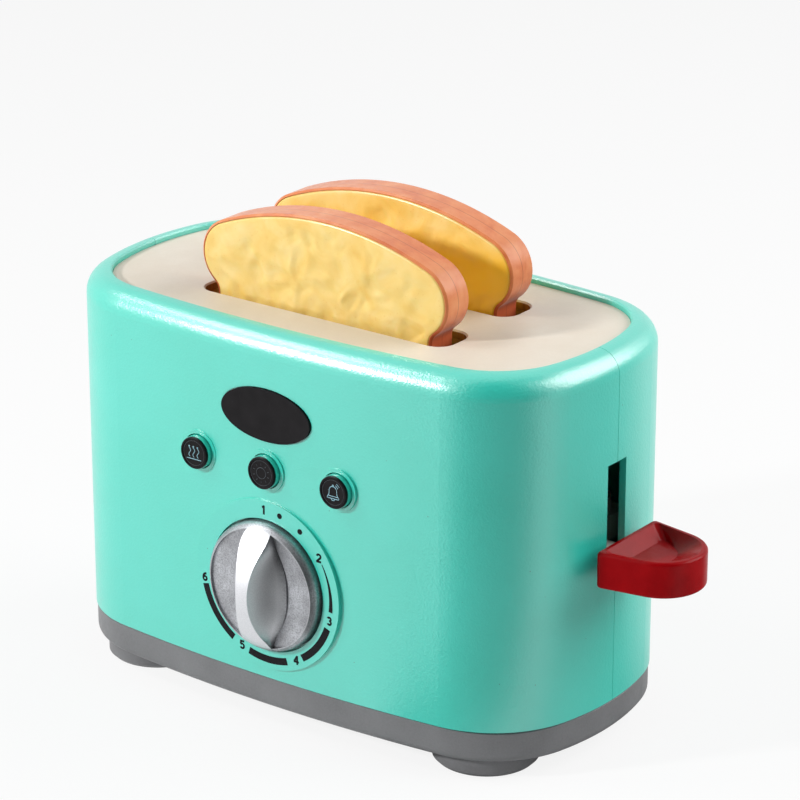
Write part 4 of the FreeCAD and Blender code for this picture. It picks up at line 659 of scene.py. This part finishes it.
def face_outline(node, level):
    """The closed outline of a CAD node at one Y, as (x, z) points in order."""
    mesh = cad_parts[node].data
    near = {}
    for vertex in mesh.vertices:
        if abs(vertex.co.y - level) < LEVEL_TOLERANCE:
            near[vertex.index] = (round(vertex.co.x, 6), round(vertex.co.z, 6))
    beside = {}
    for edge in mesh.edges:
        first, second = (near.get(index) for index in edge.vertices)
        if first and second and first != second:
            beside.setdefault(first, set()).add(second)
            beside.setdefault(second, set()).add(first)
    start = min(beside)
    outline, last = [start], None
    while True:
        onward = sorted(point for point in beside[outline[-1]] if point != last)
        last = outline[-1]
        if onward[0] == start or len(outline) > len(beside):
            return outline
        outline.append(onward[0])


def evenly(outline, count):
    """Points at equal steps round a closed outline, counter-clockwise."""
    ring = [Vector(point) for point in outline]
    area = sum(a.x * b.y - b.x * a.y for a, b in zip(ring, ring[1:] + ring[:1]))
    if area < 0:
        ring.reverse()
    ends = ring[1:] + ring[:1]
    lengths = [(b - a).length for a, b in zip(ring, ends)]
    step = sum(lengths) / count
    points, index, walked = [], 0, 0.0
    for number in range(count):
        target = number * step
        while walked + lengths[index] < target:
            walked += lengths[index]
            index += 1
        share = (target - walked) / lengths[index]
        points.append(ring[index].lerp(ends[index], share))
    return points


def drawn_in(ring, distance):
    """The ring moved inwards along its own normals."""
    moved = []
    for index, point in enumerate(ring):
        along = (ring[(index + 1) % len(ring)] - ring[index - 1]).normalized()
        moved.append(point + Vector((-along.y, along.x)) * distance)
    return moved


def smoothed(value):
    """0 to 1 with soft ends, held there outside."""
    value = min(max(value, 0.0), 1.0)
    return value * value * (3.0 - 2.0 * value)


def crumb_height(x, z, seed):
    """Hammered, wrinkled surface, from about -1 to 1."""
    spot = Vector((x, z, 0.0)) / BUMP_SIZE + Vector((0.0, 0.0, seed))
    bent = spot + BUMP_BEND * noise.noise_vector(spot * 0.9)
    pits = noise.voronoi(bent * 1.15)[0]
    ridge = smoothed((pits[1] - pits[0]) / 0.6)
    swell = noise.fractal(bent * 0.8, 1.0, 2.0, 3)
    return 0.9 * swell - 0.75 * (ridge - 0.5)


def crumb_plate(name, node, body, seed):
    """A vinyl crumb face with its bumps in the mesh, in the place of the flat CAD plate."""
    low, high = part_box(node)
    fore = node.endswith("fore")
    outer, inner, outward = (low.y, high.y, -1.0) if fore else (high.y, low.y, 1.0)
    widest = evenly(face_outline(node, outer - outward * CRUMB_BEVEL * MM), CRUMB_POINTS)
    centre = Vector((0.0, (low.z + high.z) / 2.0))
    rings = [(widest, inner, 0.0), (widest, outer - outward * CRUMB_SIDE * MM, 0.0)]
    for inset, level in CRUMB_EDGE:
        rings.append((drawn_in(widest, inset * MM), outer - outward * level * MM, 0.0))
    edge = rings[-1][0]
    for number in range(1, CRUMB_RINGS):
        scale = 1.0 - number / CRUMB_RINGS
        ring = [centre + (point - centre) * scale for point in edge]
        rings.append((ring, outer, smoothed((1.0 - scale) / CRUMB_FADE)))
    build = bmesh.new()

    def vertex(point, level, bumps):
        rise = CRUMB_RELIEF * bumps * crumb_height(point.x, point.y, seed) if bumps else 0.0
        return build.verts.new((point.x, level + outward * rise, point.y))

    loops = [[vertex(point, level, bumps) for point in ring] for ring, level, bumps in rings]
    middle = vertex(centre, outer, 1.0)
    for first, second in zip(loops, loops[1:]):
        bridge(build, first, second)
    last = loops[-1]
    for index in range(len(last)):
        build.faces.new((last[index], last[(index + 1) % len(last)], middle))
    build.faces.new(loops[0])
    mesh = written(build, bpy.data.meshes.new(name))
    mesh.shade_smooth()
    piece = finished_piece(name, mesh, FINISHES["crumb"], body)
    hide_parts(node)


# ---------------------------------------------------------------- the dial's print

# the face of the plate, the centre and the radius of the ring of figures, and the print's height
PLATE_FACE = -51.8 * MM
DIAL_HEIGHT = 48.7 * MM
PRINT_RADIUS = 25.15 * MM
PRINT_LIFT = 0.06 * MM
PRINT_ROOT = 0.01 * MM
# each figure and its angle in degrees, clockwise from the top
FIGURES = ((1, -2.0), (2, 55.0), (3, 103.0), (4, 153.0), (5, 204.0), (6, 262.0))
FIGURE_SCALE = 1.12
FIGURE_LINE = 0.74
FIGURE_FLATNESS = 0.16
DOTS = (12.5, 32.0)
DOT_RADIUS = 0.92 * MM
DOT_POINTS = 28
# each band's first and last angle, and its width in millimetres there
BANDS = ((60.0, 96.0, 0.25, 1.45), (109.8, 147.0, 2.35, 2.35),
         (162.3, 197.0, 2.40, 2.40), (212.6, 257.0, 2.30, 2.30))
BAND_STEPS = 40


def on_dial(angle, radius):
    """(x, z) on the dial, the angle clockwise from the top."""
    turn = math.radians(angle)
    return radius * math.sin(turn), DIAL_HEIGHT + radius * math.cos(turn)


def raised_shape(build, outline, face, lift):
    """A flat closed shape in the XZ plane standing lift proud of face, towards the front."""
    top = [build.verts.new((x, face - lift, z)) for x, z in outline]
    foot = [build.verts.new((x, face + PRINT_ROOT, z)) for x, z in outline]
    build.faces.new(top)
    bridge(build, foot, top)
    build.faces.new(list(reversed(foot)))


def dial_print():
    """The swelling bands between the figures and the two dots."""
    build = bmesh.new()
    for start, end, first_width, last_width in BANDS:
        outer, inner = [], []
        for number in range(BAND_STEPS + 1):
            share = number / BAND_STEPS
            angle = start + (end - start) * share
            half = (first_width + (last_width - first_width) * share) * MM / 2.0
            outer.append(on_dial(angle, PRINT_RADIUS + half))
            inner.append(on_dial(angle, PRINT_RADIUS - half))
        raised_shape(build, outer + inner[::-1], PLATE_FACE, PRINT_LIFT)
    for angle in DOTS:
        x, z = on_dial(angle, PRINT_RADIUS)
        turns = [math.tau * number / DOT_POINTS for number in range(DOT_POINTS)]
        spot = [(x + DOT_RADIUS * math.sin(turn), z + DOT_RADIUS * math.cos(turn))
                for turn in turns]
        raised_shape(build, spot, PLATE_FACE, PRINT_LIFT)
    mesh = written(build, bpy.data.meshes.new("dial_print"))
    finished_piece("dial_print", mesh, DARK_INK, "housing")


def line_work(name, strokes, centre, face, thickness, material, body, flatness=1.0):
    """Raised lines on a face towards the front; strokes and thickness are in millimetres."""
    curve = bpy.data.curves.new(name, "CURVE")
    curve.dimensions = "3D"
    curve.bevel_depth = thickness * MM / 2.0
    curve.bevel_resolution = 2
    curve.use_fill_caps = True
    for stroke in strokes:
        closed = (Vector(stroke[0]) - Vector(stroke[-1])).length < 1e-6
        points = stroke[:-1] if closed else stroke
        add_spline(curve, [(centre[0] + x * MM, face, centre[1] + z * MM) for x, z in points],
                   closed)
    mesh = curve_mesh(curve)
    for vertex in mesh.vertices:
        vertex.co.y = face + (vertex.co.y - face) * flatness
    mesh.shade_smooth()
    finished_piece(name, mesh, material, body)


def figure_strokes(figure):
    """The strokes of an upright figure from 1 to 6, about its own middle, in millimetres."""
    return {
        1: [[(0.14, 1.36), (0.14, -1.36)], [(-0.46, 0.72), (-0.16, 0.84), (0.10, 1.12)]],
        2: [arc_points((0.0, 0.46), 0.62, 168.0, -32.0, 20) + [(-0.60, -0.98)],
            [(-0.86, -1.08), (0.84, -1.08)]],
        3: [arc_points((-0.04, 0.53), 0.55, 155.0, -90.0, 18),
            arc_points((-0.04, -0.48), 0.60, 90.0, -155.0, 18)],
        4: [[(0.30, -1.36), (0.30, 1.36)], [(0.24, 1.20), (-0.74, -0.40)],
            [(-0.94, -0.50), (0.86, -0.50)]],
        5: [[(0.72, 1.08), (-0.66, 1.08)], [(-0.44, 1.20), (-0.54, 0.10)],
            arc_points((-0.04, -0.40), 0.67, 138.0, -150.0, 22)],
        6: [circle((0.0, -0.44), 0.62, 28),
            [(-0.60, -0.50), (-0.60, 0.05), (-0.45, 0.55), (-0.12, 0.90), (0.30, 1.06),
             (0.55, 1.08)]],
    }[figure]


def dial_figures():
    for figure, angle in FIGURES:
        strokes = [[(FIGURE_SCALE * along, FIGURE_SCALE * up) for along, up in stroke]
                   for stroke in figure_strokes(figure)]
        line_work(f"dial_figure_{figure}", strokes, on_dial(angle, PRINT_RADIUS), PLATE_FACE,
                  FIGURE_LINE, DARK_INK, "housing", flatness=FIGURE_FLATNESS)


# ---------------------------------------------------------------- the buttons and their comb

# where each button is along X, in millimetres, and the height of all three
BUTTON_PLACES = {"left": -27.3, "middle": 0.0, "right": 27.3}
BUTTON_HEIGHT = 86.8 * MM
# the depth of the lines in a cap, the radius of its ring and the widths of the lines
CAP_FLOOR = 0.3 * MM
CAP_RING = 4.05
ICON_LINE = 0.23
RING_LINE = 0.16
# the faces of the comb behind the buttons
COMB_FRONT = -41.2 * MM
COMB_BACK = -40.4 * MM
# in millimetres: half the comb's length and height, the window round a tongue as its two ends and
# half its height, the comb's screws and the radius of their holes, half a tongue's height, the
# number of its stations 1 mm apart, and those of its rounded tip
COMB_HALF = (42.0, 6.0)
WINDOW = (-9.0, 8.0, 3.0)
SCREW_PLACES = (-38.0, 38.0)
SCREW_RADIUS = 1.0
TONGUE_HALF = 2.0
TONGUE_STATIONS = 16
TONGUE_TIP = [(-7.5, 1.85), (-7.85, 1.5), (-8.0, 1.1)]


def heat_icon():
    """Three rising waves with a round head each, over a line."""
    strokes = []
    for offset in (-1.65, 0.0, 1.65):
        shares = [number / 24 for number in range(25)]
        strokes.append([(offset + 0.36 * math.sin(share * math.tau * 1.1 - 0.5), 1.7 - 3.1 * share)
                        for share in shares])
        strokes.append(circle((offset - 0.17, 2.05), 0.18, 12))
    strokes.append([(-2.9, -2.0), (2.9, -2.0)])
    return strokes


def sun_icon():
    """A ring with ten short rays."""
    strokes = [circle((0.0, 0.0), 1.8, 40)]
    for number in range(10):
        turn = math.radians(36.0 * number + 18.0)
        strokes.append([(radius * math.cos(turn), radius * math.sin(turn))
                        for radius in (2.55, 3.2)])
    return strokes


def bell_icon():
    """A hand bell with two ringing arcs at its shoulder."""
    crown = arc_points((0.0, 0.55), 1.45, 180.0, 0.0, 24)
    side = [(1.5, -0.4), (1.75, -1.05), (2.15, -1.45), (2.2, -1.8), (1.95, -1.95)]
    left = [(-x, z) for x, z in reversed(side)]
    return [left + crown + side + [(-1.95, -1.95)],
            arc_points((0.0, -1.95), 0.65, 180.0, 360.0, 12),
            circle((0.0, 2.2), 0.28, 14),
            [(-1.8, -1.2), (1.8, -1.2)],
            arc_points((0.0, 0.55), 2.15, 64.0, 30.0, 10),
            arc_points((0.0, 0.55), 2.85, 62.0, 34.0, 10)]


def button_marks():
    """On each cap its sign and a ring line round it."""
    ring = [circle((0.0, 0.0), CAP_RING, 64)]
    marks = {"left": (heat_icon(), PALE_INK, "silver"), "middle": (sun_icon(), GREY_INK, "black"),
             "right": (bell_icon(), PALE_INK, "silver")}
    for side, (icon, material, slot) in marks.items():
        low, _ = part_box(f"button_{side}_cap")
        face = low.y + CAP_FLOOR
        centre = (BUTTON_PLACES[side] * MM, BUTTON_HEIGHT)
        body = f"button_{side}"
        line_work(f"button_{side}_icon", icon, centre, face, ICON_LINE, material, body)
        line_work(f"button_{side}_ring", ring, centre, face, RING_LINE, GREY_INK, body)


def rectangle(left, right, half_height):
    return [(left, -half_height), (right, -half_height), (right, half_height), (left, half_height)]


def comb_outlines():
    """The comb's strip, the window round each tongue and the screw holes, in millimetres."""
    half_length, half_height = COMB_HALF
    tip, root, half_window = WINDOW
    outlines = [rectangle(-half_length, half_length, half_height)]
    for x in BUTTON_PLACES.values():
        outlines.append(rectangle(x + tip, x + root, half_window))
    for x in SCREW_PLACES:
        outlines.append(circle((x, 0.0), SCREW_RADIUS, 24)[:-1])
    return outlines


def comb_frame():
    """The stamped strip behind the buttons, less its tongues."""
    curve = bpy.data.curves.new("comb_frame", "CURVE")
    curve.dimensions = "2D"
    curve.fill_mode = "BOTH"
    curve.extrude = (COMB_BACK - COMB_FRONT) / 2.0
    for outline in comb_outlines():
        add_spline(curve, [(x * MM, z * MM, 0.0) for x, z in outline], True)
    mesh = curve_mesh(curve)
    mesh.transform(Matrix.Translation((0.0, (COMB_FRONT + COMB_BACK) / 2.0, BUTTON_HEIGHT))
                   @ Matrix.Rotation(math.radians(90.0), 4, "X"))
    build = bmesh.new()
    build.from_mesh(mesh)
    bmesh.ops.remove_doubles(build, verts=build.verts, dist=0.001 * MM)
    written(build, mesh)
    piece = finished_piece("button_spring_frame", mesh, FINISHES["spring_steel"], "housing")
    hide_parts("button_spring_comb")


def comb_tongue(side, x):
    """A tongue of the comb, from its root in the strip to its rounded free end."""
    root = WINDOW[1]
    stations = [(root - number, TONGUE_HALF) for number in range(TONGUE_STATIONS)]
    stations += TONGUE_TIP
    build = bmesh.new()
    rings = []
    for along, half in stations:
        corners = ((COMB_FRONT, -half), (COMB_BACK, -half), (COMB_BACK, half), (COMB_FRONT, half))
        rings.append([build.verts.new(((x + along) * MM, y, BUTTON_HEIGHT + z * MM))
                      for y, z in corners])
    for first, second in zip(rings, rings[1:]):
        bridge(build, first, second)
    build.faces.new(rings[0])
    build.faces.new(rings[-1])
    name = f"button_spring_tongue_{side}"
    mesh = written(build, bpy.data.meshes.new(name))
    piece = loose_piece(name, mesh, FINISHES["spring_steel"])
    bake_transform(piece)
    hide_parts("button_spring_comb")


# ---------------------------------------------------------------- the scene

noise.seed_set(NOISE_SEED)
add_camera()
dress_nodes()
plates = [(slice_name, side) for slice_name in ("front", "rear") for side in ("fore", "aft")]
for number, (slice_name, side) in enumerate(plates):
    crumb_plate(f"toast_{slice_name}_bumpy_{side}", f"toast_{slice_name}_crumb_{side}",
                f"slice_{slice_name}", CRUMB_STEP * (number + 1))
dial_print()
dial_figures()
button_marks()
comb_frame()
for side, x in BUTTON_PLACES.items():
    comb_tongue(side, x)

add_world()
add_floor()
for name, settings in LAMPS.items():
    add_lamp(name, *settings)
bpy.context.scene.view_settings.view_transform = "Standard"
